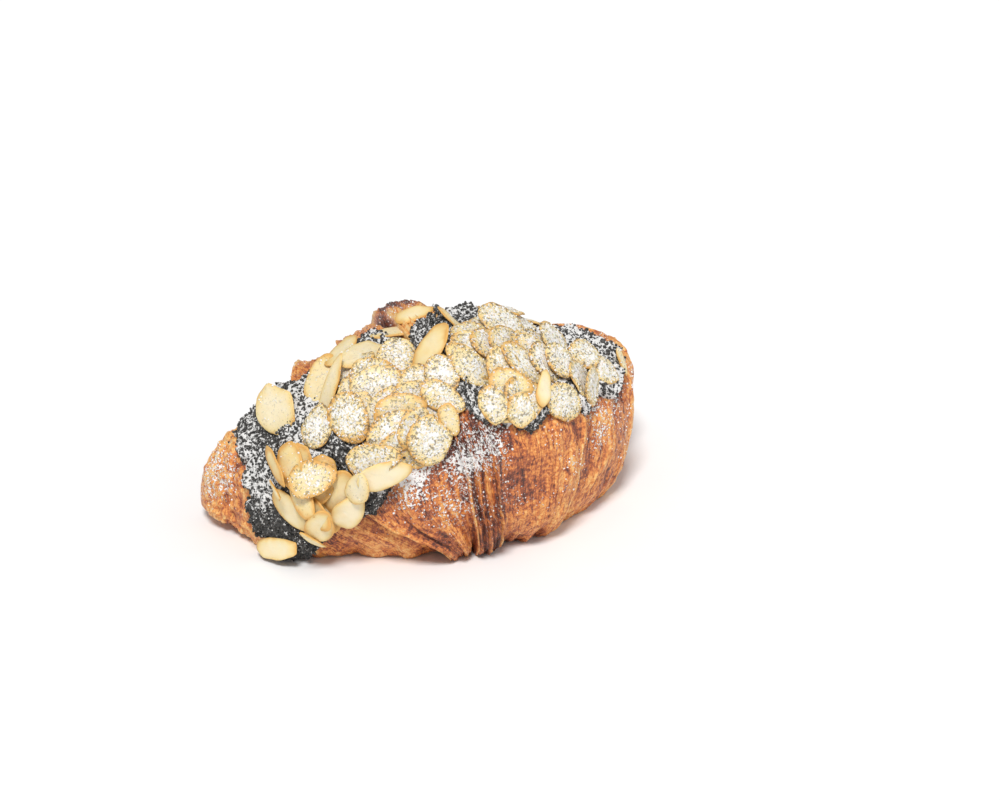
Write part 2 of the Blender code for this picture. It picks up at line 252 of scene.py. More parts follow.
@dataclass(frozen=True)
class Places:
    """Places on a roll, with what is worked out once for all of them."""

    roll: "Roll"
    station: Array
    angle: Array
    wrap: Array

    @cached_property
    def plain(self) -> Array:
        """Points of the roll before its wraps."""
        return self.roll.plain(self.station, self.angle)

    @cached_property
    def normal(self) -> Array:
        """Unit normals of the plain roll."""
        normal = np.cross(*self.roll.tangents(self.station, self.angle))
        return normal / np.maximum(np.linalg.norm(normal, axis=-1, keepdims=True), 1e-12)

    @cached_property
    def band(self) -> Array:
        """1 on the ribbed middle band, easing to 0 over its lips."""
        rising = smoothstep((self.wrap - self.roll.band) / self.roll.lip_width + 0.5)
        return rising * smoothstep((self.roll.band + 1 - self.wrap) / self.roll.lip_width + 0.5)

    @cached_property
    def relief(self) -> Array:
        """Height of the wraps over the plain roll."""
        return self.roll.relief(self)

    @property
    def from_base(self) -> Array:
        """Degrees from the middle of the underside, on either side."""
        return np.minimum(self.angle, 360.0 - self.angle)

    def beyond(self, edge: int) -> Array:
        """How far the places lie past a lip, in wraps, towards the middle band."""
        return self.wrap - edge if edge < self.roll.band + 1 else edge - self.wrap

    def raised(self, height: Array) -> Array:
        """Points at a height over the plain roll, along its normals."""
        return self.plain + self.normal * height[..., None]

    def pattern(self, per_wrap: float, radius: float) -> Array:
        """Coordinates in which noise follows the wraps: along the roll, and round it on a circle."""
        around = np.stack([np.cos(np.radians(self.angle)), np.sin(np.radians(self.angle))], axis=-1)
        return np.concatenate([per_wrap * self.wrap[..., None], radius * around], axis=-1)


@dataclass(frozen=True)
class Roll:
    """The crescent and its wraps, as the solids have them.

    A wrap coordinate counts the wraps from the left end; the ribbed middle band is the one after `band`.
    """

    half_chord: float = 0.0741
    bend: float = 0.0350
    front_width: float = 0.0482
    back_width: float = 0.0385
    height: float = 0.0600
    girth: float = 2.6
    widest: float = -0.157
    spring_line: float = 0.50
    base_spread: float = 1.25
    left: End = End(1.35, 0.62, 0.465, 0.0045, 0.72, 1.02)
    right: End = End(1.20, 0.66, 0.42, 0.0085, 0.35, 1.0)
    wrap_edges: tuple = (
        ((0, -0.50), (60, -0.64), (90, -0.69), (150, -0.70), (185, -0.66), (260, -0.60), (320, -0.52)),
        ((0, -0.21), (55, -0.25), (66, -0.34), (72, -0.41), (84, -0.50), (120, -0.56), (150, -0.55),
         (186, -0.516), (240, -0.46), (300, -0.34)),
        ((0, -0.13), (46, -0.170), (84, -0.222), (114, -0.259), (150, -0.27), (211, -0.247), (290, -0.20)),
        ((0, -0.07), (50, -0.104), (84, -0.147), (103, -0.167), (120, -0.190), (150, -0.165), (186, -0.10),
         (240, -0.07), (320, -0.06)),
        ((0, 0.06), (60, 0.10), (90, 0.15), (150, 0.20), (200, 0.20), (280, 0.14)),
        ((0, 0.34), (60, 0.44), (90, 0.48), (150, 0.56), (200, 0.56), (280, 0.44)),
    )
    band: int = 3
    lip_step: tuple = (0.0024, 0.0040, 0.0028, 0.0028, 0.0036, 0.0032)
    lip_width: float = 0.12
    pillow: float = 0.0012
    mean: float = 0.0018
    crest: float = 0.0030
    crest_span: tuple = (130.0, 190.0, 210.0, 250.0)
    ridge_depth: float = 0.0008
    ridges: int = 6
    swellings: tuple = ((-0.46, 52.0, 0.11, 26.0, -0.0028), (0.46, 188.0, 0.09, 38.0, -0.0050),
                        (-0.69, 46.0, 0.08, 20.0, 0.0040), (-0.665, 195.0, 0.050, 28.0, 0.0038))
    base_span: tuple = (24.0, 50.0)
    end_fade: float = 0.4

    @property
    def wraps(self) -> int:
        """Number of wraps of the roll."""
        return len(self.wrap_edges) + 1

    @staticmethod
    def around(knots: Sequence, angle: Array) -> Array:
        """Read knots all the way round the roll, as the mean of straight readings at five near angles.

        Args:
            knots: Pairs of an angle and a value.
            angle: Angles of the points.

        Returns:
            The value at each.
        """
        at, values = np.array(knots, dtype=float).T
        offsets = (-10.0, -5.0, 0.0, 5.0, 10.0)
        return sum(np.interp(angle + offset, at, values, period=360.0) for offset in offsets) / len(offsets)

    def ends(self, station: Array) -> tuple[Array, Array, Array]:
        """Size of the roll along it: full at its widest station, closing towards both ends.

        Args:
            station: Stations of the points.

        Returns:
            Share of the full width, then the height and the lift in metres, at each.
        """
        left = station < self.widest
        share = np.abs(station - self.widest) / np.where(left, 1.0 + self.widest, 1.0 - self.widest)

        def pick(name: str) -> Array:
            """Value of a field of the end that each station belongs to."""
            return np.where(left, getattr(self.left, name), getattr(self.right, name))

        closing = np.clip(1.0 - share ** pick("shoulder"), 0.0, 1.0)
        lift = pick("lift") * ramp(share, pick("lift_from"), pick("lift_to"))
        return closing ** pick("width"), self.height * closing ** pick("height"), lift

    def plain(self, station: Array, angle: Array) -> Array:
        """Crescent before its wraps: a flattened superellipse carried along a parabola, square to it.

        Args:
            station: Stations of the points.
            angle: Their angles.

        Returns:
            The points.
        """
        fullness, height, lift = self.ends(station)
        rise = 2.0 * self.bend * station
        length = np.hypot(self.half_chord, rise)
        turn = np.radians(angle) - math.pi / 2.0
        across = np.sign(np.cos(turn)) * np.abs(np.cos(turn)) ** (2.0 / self.girth)
        upward = np.sign(np.sin(turn)) * np.abs(np.sin(turn)) ** (2.0 / self.girth)
        middle = self.spring_line * height
        above = middle + (height - middle) * upward
        below = np.maximum(middle + self.base_spread * middle * upward, 0.0)
        reach = fullness * across * np.where(across > 0.0, self.front_width, self.back_width)
        x = self.half_chord * station + reach * rise / length
        y = self.bend * station ** 2 - reach * self.half_chord / length
        return np.stack([x, y, np.where(upward > 0.0, above, below) + lift], axis=-1)

    def tangents(self, station: Array, angle: Array) -> tuple[Array, Array]:
        """Steps of the plain roll, from points a little to each side.

        Args:
            station: Stations of the points.
            angle: Their angles.

        Returns:
            Metres for one unit of station, and for one degree.
        """
        step = 1e-3
        inner = np.clip(station, -1.0 + 2.0 * step, 1.0 - 2.0 * step)
        along = (self.plain(inner + step, angle) - self.plain(inner - step, angle)) / (2.0 * step)
        return along, self.plain(inner, angle + 0.5) - self.plain(inner, angle - 0.5)

    def edges(self, angle: Array) -> Array:
        """Stations of both ends and of every wrap edge at an angle, one row each."""
        edges = [self.around(knots, angle) for knots in self.wrap_edges]
        return np.stack([np.full_like(angle, -1.0), *edges, np.full_like(angle, 1.0)])

    def between(self, index: Array, angle: Array) -> list[Array]:
        """Stations of the edges on both sides of some wraps."""
        edges = self.edges(angle)
        return [np.take_along_axis(edges, index[None] + side, axis=0)[0] for side in (0, 1)]

    def on_wraps(self, wrap: Array, angle: Array) -> Places:
        """Places by their wraps: the station lies straight between the edges on both sides.

        Args:
            wrap: Wrap coordinates.
            angle: Angles.

        Returns:
            The places.
        """
        index = np.clip(wrap.astype(int), 0, self.wraps - 1)
        left, right = self.between(index, angle)
        return Places(self, left + (right - left) * (wrap - index), angle, wrap)

    def at(self, station: Array, angle: Array) -> Places:
        """Places by their stations: the wrap counts the edges left of each, plus its share of the next wrap.

        Args:
            station: Stations.
            angle: Angles.

        Returns:
            The places.
        """
        index = np.clip((station[None] >= self.edges(angle)).sum(axis=0) - 1, 0, self.wraps - 1)
        left, right = self.between(index, angle)
        return Places(self, station, angle, index + (station - left) / (right - left))

    def relief(self, at: Places) -> Array:
        """Height of the wraps over the plain roll: stepped lips, pillowed backs and the ribbed band.

        Args:
            at: Places on the roll.

        Returns:
            Metres along the normal, fading to 0 at the ends and underneath.
        """
        wrap, angle = at.wrap, at.angle
        height = np.full_like(wrap, -self.mean)
        for edge, step in enumerate(self.lip_step, start=1):
            beyond = at.beyond(edge)
            of_band = edge in (self.band, self.band + 1)
            tucked = 1.0 if of_band else 1.0 - np.clip(beyond, 0.0, 1.0)
            share = 0.5 * at.band if of_band else smoothstep(beyond / self.lip_width + 0.5)
            height = height + step * share * tucked
        height = height + self.pillow * (1.0 - at.band) * np.sin(np.pi * (wrap - np.floor(wrap)))
        crest = self.crest * window(angle, self.crest_span)
        ridges = self.ridge_depth * np.cos(2.0 * np.pi * self.ridges * (wrap - self.band))
        height = height + at.band * (crest + ridges) + spots(self.on_wraps(wrap, angle), self.swellings)
        ends = smoothstep(wrap / self.end_fade) * smoothstep((self.wraps - wrap) / self.end_fade)
        return height * ramp(at.from_base, *self.base_span) * ends


@dataclass(frozen=True)
class LayerForm:
    """Outline and thickness of the sesame layer on the roll, as the solid has them."""

    roll: Roll
    thickness: float = 0.0034
    edge: float = 0.0035
    lump: float = 0.0006
    lump_along: tuple = (61.0, 23.0)
    lump_round: tuple = (9.0, 5.0)
    follows: float = 0.85
    clear: float = 0.0006
    lobes: tuple = ((3.0, 31.0, 0.0), (2.0, 53.0, 1.0))
    end_waves: tuple = ((0.010, 5.0), (0.006, 11.0))
    per_degree: float = 0.00075
    left: tuple = ((0, -0.76), (54, -0.765), (72, -0.79), (110, -0.815), (180, -0.88), (230, -0.86))
    right: float = 0.54
    front: tuple = ((-0.80, 45), (-0.72, 41), (-0.66, 46), (-0.625, 58), (-0.575, 66), (-0.53, 80), (-0.46, 84),
                    (-0.40, 99), (-0.35, 108), (-0.28, 117), (-0.22, 124), (-0.165, 116), (-0.10, 112),
                    (0.35, 112), (0.54, 126))
    back: tuple = ((-0.88, 184), (-0.82, 183), (-0.77, 192), (-0.72, 190), (-0.67, 182), (-0.58, 181),
                   (-0.46, 187), (-0.32, 184), (-0.25, 178), (-0.14, 178), (-0.08, 190), (0.10, 198),
                   (0.40, 196), (0.54, 176))

    @staticmethod
    def read(knots: tuple, at: Array) -> Array:
        """Value of (place, value) knots, straight between them."""
        return np.interp(at, *np.array(knots, dtype=float).T)

    def inside(self, at: Places) -> Array:
        """Distance into the layer: the least of the distances from its four lobed sides.

        Args:
            at: Places on the roll.

        Returns:
            Metres, negative outside.
        """
        lobes = sum(size * np.sin(turns * at.station + phase) for size, turns, phase in self.lobes)
        wave = sum(size * np.sin(np.radians(at.angle * turns)) for size, turns in self.end_waves)
        front = (at.angle - self.read(self.front, at.station) - lobes) * self.per_degree
        back = (self.read(self.back, at.station) + lobes - at.angle) * self.per_degree
        left = (at.station - self.read(self.left, at.angle) + wave) * self.roll.half_chord
        right = (self.right + wave - at.station) * self.roll.half_chord
        return np.minimum(np.minimum(front, back), np.minimum(left, right))

    def height(self, at: Places, inside: Array) -> Array:
        """Height over the plain roll: the wraps softened, plus a thickness rounded at the rim, with lumps.

        Args:
            at: Places on the roll.
            inside: Their distances into the layer.

        Returns:
            Metres along the normal.
        """
        rounded = np.sqrt(np.clip(1.0 - (1.0 - np.clip(inside / self.edge, 0.0, 1.0)) ** 2, 0.0, 1.0))
        lumps = self.lump * np.sin(self.lump_along[0] * at.station + at.angle / self.lump_round[0])
        lumps = lumps * np.sin(self.lump_along[1] * at.station + at.angle / self.lump_round[1])
        return self.follows * at.relief + rounded * (self.thickness + lumps)

    def points(self, at: Places) -> Array:
        """Outer surface of the layer, or of the crust where that stands higher, kept clear of the floor.

        Args:
            at: Places on the roll.

        Returns:
            The points.
        """
        points = at.raised(np.maximum(self.height(at, self.inside(at)), at.relief))
        points[..., 2] = np.maximum(points[..., 2], self.clear)
        return points


class Pieces:
    """Turns arrays into named mesh objects of the dressed croissant."""

    @staticmethod
    def grid_faces(rows: int, columns: int, closed: bool) -> Array:
        """Quads of a grid of rows by columns whose vertices are numbered row by row.

        Args:
            rows: Number of rows of vertices.
            columns: Number of vertices in a row.
            closed: Whether the last column joins the first.

        Returns:
            Whole numbers, one row of four per face.
        """
        row, column = np.meshgrid(np.arange(rows - 1), np.arange(columns - (not closed)), indexing="ij")
        after = (column + 1) % columns
        corners = (row * columns + column, (row + 1) * columns + column,
                   (row + 1) * columns + after, row * columns + after)
        return np.stack(corners, axis=-1).reshape(-1, 4)

    @staticmethod
    def fan(ring: Array, pole: int, flipped: bool) -> Array:
        """Triangles from a ring of vertices to a pole.

        Args:
            ring: Numbers of the ring's vertices, in order.
            pole: Number of the pole.
            flipped: Whether the triangles face the other way.

        Returns:
            Whole numbers, one row of three per face.
        """
        after = np.roll(ring, -1)
        sides = (after, ring) if flipped else (ring, after)
        return np.stack([*sides, np.full_like(ring, pole)], axis=-1)

    @staticmethod
    def build(name: str, points: Array, faces: Sequence[Array], values: dict[str, Array],
              material: bpy.types.Material, slot: str) -> bpy.types.Object:
        """Make a piece that rides on the croissant.

        Args:
            name: Name of the piece.
            points: Vertex places, one row each.
            faces: Arrays of corners, each with faces of one size.
            values: Numbers or vectors per vertex, by attribute name.
            material: Finish of the piece.
            slot: Not used.

        Returns:
            The object, linked and riding.
        """
        mesh = bpy.data.meshes.new(name)
        corners = np.concatenate([block.ravel() for block in faces]).astype(np.int32)
        sizes = np.concatenate([np.full(len(block), block.shape[1]) for block in faces])
        starts = np.concatenate([[0], np.cumsum(sizes)[:-1]]).astype(np.int32)
        mesh.vertices.add(len(points))
        mesh.vertices.foreach_set("co", points.astype(np.float32).ravel())
        mesh.loops.add(len(corners))
        mesh.loops.foreach_set("vertex_index", corners)
        mesh.polygons.add(len(sizes))
        mesh.polygons.foreach_set("loop_start", starts)
        mesh.update(calc_edges=True)
        mesh.validate()
        for key, data in values.items():
            kind, part = ("FLOAT_VECTOR", "vector") if data.ndim == 2 else ("FLOAT", "value")
            attribute = mesh.attributes.new(key, kind, "POINT")
            attribute.data.foreach_set(part, data.astype(np.float32).ravel())
        mesh.shade_smooth()
        mesh.materials.append(material)
        piece = bpy.data.objects.new(name, mesh)
        bpy.context.scene.collection.objects.link(piece)
        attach(piece, "root")
        LOG.info("%s: %d vertices, %d triangles", name, len(points), int(np.sum(sizes - 2)))
        return piece


@dataclass(frozen=True)
class Skin:
    """Triangles of a surface with a value each, from which grains are scattered."""

    corners: Array
    weight: Array

    @staticmethod
    def of(points: Array, quads: Array, amount: Array) -> "Skin":
        """Split quads into triangles and carry the mean amount of their corners."""
        triangles = np.concatenate([quads[:, [0, 1, 2]], quads[:, [0, 2, 3]]])
        return Skin(points[triangles], amount[triangles].mean(axis=1))

    def scatter(self, count: int, rng: np.random.Generator) -> tuple[Array, Array]:
        """Pick triangles by area times weight, and a place in each by two shares folded into it.

        Args:
            count: Number of places.
            rng: Seeded source of the draws.

        Returns:
            The places and the unit normals there.
        """
        cross = np.cross(self.corners[:, 1] - self.corners[:, 0], self.corners[:, 2] - self.corners[:, 0])
        area = np.linalg.norm(cross, axis=1)
        chance = area * np.clip(self.weight, 0.0, None)
        picked = rng.choice(len(area), count, p=chance / chance.sum())
        first, second = rng.random((2, count))
        turned = first + second > 1.0
        first, second = np.where(turned, 1.0 - first, first), np.where(turned, 1.0 - second, second)
        corner = self.corners[picked]
        places = corner[:, 0] + first[:, None] * (corner[:, 1] - corner[:, 0])
        places = places + second[:, None] * (corner[:, 2] - corner[:, 0])
        return places, cross[picked] / np.maximum(area[picked], 1e-15)[:, None]


class Value:
    """A number in a shader: arithmetic on it adds Math nodes."""

    def __init__(self, tree: "Tree", socket: Socket) -> None:
        """Wrap a socket of a tree."""
        self.tree = tree
        self.socket = socket

    def math(self, operation: str, *terms: "Value | float") -> "Value":
        """Add a Math node on this number and some terms."""
        sockets = dict(enumerate((self, *terms)))
        return Value(self.tree, self.tree.node("ShaderNodeMath", {"operation": operation}, sockets).outputs[0])

    def __add__(self, other: "Value | float") -> "Value":
        """Sum."""
        return self.math("ADD", other)

    __radd__ = __add__

    def __sub__(self, other: "Value | float") -> "Value":
        """Difference."""
        return self.math("SUBTRACT", other)

    def __rsub__(self, other: "Value | float") -> "Value":
        """Difference from a number."""
        return (self * -1.0) + other

    def __mul__(self, other: "Value | float") -> "Value":
        """Product."""
        return self.math("MULTIPLY", other)

    __rmul__ = __mul__

    def __pow__(self, other: "Value | float") -> "Value":
        """Power."""
        return self.math("POWER", other)

    def eased(self, low: float, high: float) -> "Value":
        """Ease from 0 at low to 1 at high, or from 1 to 0 where low is the larger."""
        sockets = {"Value": self, "From Min": low, "From Max": high}
        node = self.tree.node("ShaderNodeMapRange", {"interpolation_type": "SMOOTHSTEP"}, sockets)
        return Value(self.tree, node.outputs[0])

    def held(self) -> "Value":
        """Keep between 0 and 1."""
        return self.math("MAXIMUM", 0.0).math("MINIMUM", 1.0)


class Tree:
    """Node tree of one material, with its Principled shader."""

    def __init__(self, name: str) -> None:
        """Start an empty material.

        Args:
            name: Name of the material.
        """
        self.material = bpy.data.materials.new(name)
        self.material.use_nodes = True
        self.nodes = self.material.node_tree.nodes
        self.nodes.clear()
        self.shader = self.node("ShaderNodeBsdfPrincipled")
        output = self.node("ShaderNodeOutputMaterial", sockets={"Surface": self.shader.outputs[0]})
        output.is_active_output = True

    def node(self, kind: str, settings: dict | None = None, sockets: dict | None = None) -> bpy.types.Node:
        """Add a node.

        Args:
            kind: Type of the node.
            settings: Its properties; "stops" are the (place, colour) stops of a ramp.
            sockets: Values or links of its inputs, by name or number.

        Returns:
            The node.
        """
        node = self.nodes.new(kind)
        for name, value in (settings or {}).items():
            if name == "stops":
                elements = node.color_ramp.elements
                while len(elements) < len(value):
                    elements.new(1.0)
                for element, (place, colour) in zip(elements, value):
                    element.position = place
                    element.color = (*colour, 1.0)
            else:
                setattr(node, name, value)
        for name, value in (sockets or {}).items():
            self.put(node.inputs[name], value)
        return node

    def put(self, target: Socket, value: object) -> None:
        """Set or link one input.

        Args:
            target: The input.
            value: A number, a colour, a Value or an output socket.
        """
        if isinstance(value, Value):
            value = value.socket
        if isinstance(value, Socket):
            self.material.node_tree.links.new(value, target)
        elif isinstance(value, tuple) and len(value) == 3 and target.type == "RGBA":
            target.default_value = (*value, 1.0)
        else:
            target.default_value = value

    def place(self) -> Socket:
        """Object coordinates, in metres."""
        return self.node("ShaderNodeTexCoord").outputs["Object"]

    def attribute(self, name: str) -> Value:
        """Number that each vertex carries under a name."""
        return Value(self, self.node("ShaderNodeAttribute", {"attribute_name": name}).outputs["Fac"])

    def vector(self, name: str) -> Socket:
        """Vector that each vertex carries under a name."""
        return self.node("ShaderNodeAttribute", {"attribute_name": name}).outputs["Vector"]

    def stretched(self, vector: Socket, factor: float) -> Socket:
        """A vector with its first part made larger, so that a pattern on it is finer that way."""
        sockets = {0: vector, 1: (factor, 1.0, 1.0)}
        return self.node("ShaderNodeVectorMath", {"operation": "MULTIPLY"}, sockets).outputs[0]

    def noise(self, vector: Socket, scale: float, detail: float = 2.0, roughness: float = 0.55) -> Value:
        """Noise between 0 and 1 with lumps of 1 / scale."""
        sockets = {"Vector": vector, "Scale": scale, "Detail": detail, "Roughness": roughness}
        return Value(self, self.node("ShaderNodeTexNoise", sockets=sockets).outputs[0])

    def stops(self, share: Value, stops: Sequence[tuple[float, Colour]]) -> Socket:
        """Colour read from a ramp."""
        return self.node("ShaderNodeValToRGB", {"stops": stops}, {"Fac": share}).outputs[0]

    def mix(self, share: Value, low: object, high: object) -> Socket:
        """Colour between two, by a share."""
        sockets = {0: share, 6: low, 7: high}
        return self.node("ShaderNodeMix", {"data_type": "RGBA"}, sockets).outputs[2]

    def bump(self, height: Value, distance: float) -> Socket:
        """Normal from a height, in metres for a height of 1."""
        return self.node("ShaderNodeBump", sockets={"Height": height, "Distance": distance}).outputs[0]

    def finish(self, **sockets: object) -> bpy.types.Material:
        """Fill the shader's sockets.

        Args:
            **sockets: Values by name of the socket, with underscores for its spaces.

        Returns:
            The material.
        """
        for name, value in sockets.items():
            self.put(self.shader.inputs[name.replace("_", " ")], value)
        return self.material


SUGAR_WHITE: Colour = (0.86, 0.85, 0.83)


@dataclass(frozen=True)
class CrustFinish:
    """Baked laminated dough, golden to dark brown, its folds darkened by painted shade, dusted with icing sugar.

    Patterns are given in lumps per metre, and each mark by how much browner it makes the crust.
    """

    stops: tuple = ((0.0, (0.84, 0.54, 0.22)), (0.20, (0.79, 0.38, 0.105)), (0.42, (0.66, 0.225, 0.055)),
                    (0.62, (0.42, 0.112, 0.036)), (0.80, (0.21, 0.052, 0.024)), (1.0, (0.07, 0.024, 0.018)))
    patch: float = 110.0
    freckle: float = 650.0
    speck: float = 1560.0
    powder: float = 1050.0
    fine_powder: float = 2310.0
    patch_mark: float = 0.30
    freckle_mark: float = 0.45
    fibre_mark: float = 0.20
    crisp_mark: float = 0.16
    thread_mark: float = 0.14
    speck_mark: float = 0.22
    seam_mark: float = 0.30
    thread_squeeze: float = 3.2
    seam_squeeze: float = 1.5
    seam_width: float = 0.030
    sugar_pull: float = 0.30
    dust_edge: tuple = (0.70, 0.77)
    cover: float = 0.92
    relief: float = 0.0008

    def material(self) -> bpy.types.Material:
        """Build the material: the bake attribute, which carries painted shade as well as browning, plus marks,
        read from the stops, under noise-edged sugar.

        Returns:
            The material.
        """
        tree = Tree("baked_crust")
        place = tree.place()
        grain = tree.vector("grain")
        fibre = tree.noise(grain, 1.0, 3.0)
        freckle = tree.noise(place, self.freckle, 3.0)
        thread = tree.noise(tree.stretched(grain, self.thread_squeeze), 1.0, 2.0)
        # The bake attribute holds browning together with painted shade in folds, creases and under the cream's
        # front edge
        bake = tree.attribute("bake") + self.patch_mark * (tree.noise(place, self.patch, 3.0) - 0.5)
        bake = bake + self.freckle_mark * (freckle - 0.5) + self.fibre_mark * (fibre - 0.5)
        bake = bake + self.crisp_mark * (freckle.eased(0.42, 0.58) - 0.5)
        bake = bake + self.thread_mark * (thread.eased(0.40, 0.58) - 0.5)
        bake = bake + self.speck_mark * (tree.noise(place, self.speck, 2.0).eased(0.40, 0.60) - 0.5)
        seam = (tree.noise(tree.stretched(grain, self.seam_squeeze), 1.0, 1.0) - 0.5).math("ABSOLUTE")
        bake = bake + self.seam_mark * seam.eased(self.seam_width, 0.0)
        powder = 0.6 * tree.noise(place, self.powder, 1.0) + 0.4 * tree.noise(place, self.fine_powder, 1.0)
        dusted = (powder + self.sugar_pull * tree.attribute("sugar")).eased(*self.dust_edge)
        colour = tree.mix(dusted * self.cover, tree.stops(bake.held(), self.stops), SUGAR_WHITE)
        height = 0.5 * fibre + 0.4 * thread + 0.35 * freckle + 0.35 * dusted
        return tree.finish(Base_Color=colour, Roughness=(0.34 + 0.25 * freckle + 0.35 * dusted).held(),
                           Normal=tree.bump(height, self.relief), Subsurface_Weight=0.05,
                           Subsurface_Radius=(1.0, 0.45, 0.2), Subsurface_Scale=0.0012)


@dataclass(frozen=True)
class CreamFinish:
    """Baked black sesame cream: charcoal crumbs under salt-and-pepper sugar."""

    dark: Colour = (0.014, 0.0135, 0.013)
    light: Colour = (0.110, 0.105, 0.098)
    crumb: float = 900.0
    fine_crumb: float = 2340.0
    powder: float = 900.0
    sugar_pull: float = 0.42
    dust_edge: tuple = (0.74, 0.84)
    cover: float = 0.9
    relief: float = 0.0009

    def material(self) -> bpy.types.Material:
        """Build the material: two sizes of crumb mix dark and light, under noise-edged sugar.

        Returns:
            The material.
        """
        tree = Tree("black_sesame_cream")
        place = tree.place()
        crumb = tree.noise(place, self.crumb, 3.0)
        fine = tree.noise(place, self.fine_crumb, 2.0)
        powder = tree.noise(place, self.powder, 2.0, 0.7)
        dusted = (powder + self.sugar_pull * tree.attribute("sugar")).eased(*self.dust_edge)
        body = tree.mix((0.6 * crumb + 0.4 * fine).eased(0.35, 0.68), self.dark, self.light)
        height = 0.7 * crumb + 0.3 * fine + 0.3 * dusted
        return tree.finish(Base_Color=tree.mix(dusted * self.cover, body, SUGAR_WHITE),
                           Roughness=(0.72 + 0.2 * dusted + 0.1 * fine).held(),
                           Normal=tree.bump(height, self.relief))


@dataclass(frozen=True)
class AlmondFinish:
    """Blanched almond slices: ivory, with yellow to orange toasted rims and powdery sugar."""

    ivory: Colour = (0.82, 0.72, 0.50)
    straw: Colour = (0.79, 0.62, 0.29)
    toasted: Colour = (0.68, 0.38, 0.10)
    pepper: Colour = (0.10, 0.085, 0.065)
    cloud: float = 170.0
    fine: float = 1100.0
    speck: float = 1200.0
    powder: float = 1500.0
    clump: float = 420.0
    toast_and_shade_mark: float = 0.46
    cloud_mark: float = 0.80
    rim_mark: float = 0.75
    pepper_pull: float = 0.145
    pepper_edge: tuple = (0.64, 0.70)
    pepper_cover: float = 0.85
    sugar_pull: float = 0.25
    rim_bare: float = 0.18
    dust_edge: tuple = (0.665, 0.745)
    cover: float = 0.92
    relief: float = 0.00025

    def material(self) -> bpy.types.Material:
        """Build the material: warmth from toast (on the lower edges and undersides partly painted shade), clouds
        and rim, then specks of cream, then sugar.

        Returns:
            The material.
        """
        tree = Tree("flaked_almond")
        place = tree.place()
        cloud = tree.noise(place, self.cloud, 2.0)
        fine = tree.noise(place, self.fine, 2.0)
        # The toast attribute is raised on the lower edges and undersides, partly as painted shade along each
        # flake's edge
        toast = tree.attribute("toast")
        sugar = tree.attribute("sugar")
        rim = tree.attribute("rim") ** 4.0
        warmth = self.toast_and_shade_mark * toast + self.cloud_mark * (cloud - 0.5)
        warmth = warmth + rim * (self.rim_mark + 0.75 * toast) * (0.4 + cloud)
        colour = tree.stops(warmth.held(), ((0.0, self.ivory), (0.45, self.straw), (0.95, self.toasted)))
        speck = tree.noise(place, self.speck, 2.0, 0.6)
        peppered = (speck + self.pepper_pull * sugar).eased(*self.pepper_edge)
        colour = tree.mix(self.pepper_cover * peppered * sugar.held(), colour, self.pepper)
        powder = 0.65 * tree.noise(place, self.powder, 2.0, 0.7) + 0.35 * tree.noise(place, self.clump, 2.0)
        dusted = (powder + self.sugar_pull * sugar - self.rim_bare * rim).eased(*self.dust_edge)
        colour = tree.mix(dusted * self.cover, colour, SUGAR_WHITE)
        return tree.finish(Base_Color=colour, Roughness=(0.48 + 0.12 * fine + 0.35 * dusted).held(),
                           Normal=tree.bump(0.5 * fine + 0.5 * dusted, self.relief), Subsurface_Weight=0.2,
                           Subsurface_Radius=(1.0, 0.7, 0.4), Subsurface_Scale=0.001)


@dataclass(frozen=True)
class GrainFinish:
    """A plain crumb or sugar grain with a slightly mottled colour."""

    name: str
    dark: Colour
    light: Colour
    roughness: float
    scale: float = 1300.0
    relief: float = 0.0001

    def material(self) -> bpy.types.Material:
        """Build the material.

        Returns:
            The material.
        """
        tree = Tree(self.name)
        mottle = tree.noise(tree.place(), self.scale, 2.0)
        colour = tree.mix(mottle.eased(0.35, 0.65), self.dark, self.light)
        return tree.finish(Base_Color=colour, Roughness=self.roughness, Normal=tree.bump(mottle, self.relief))


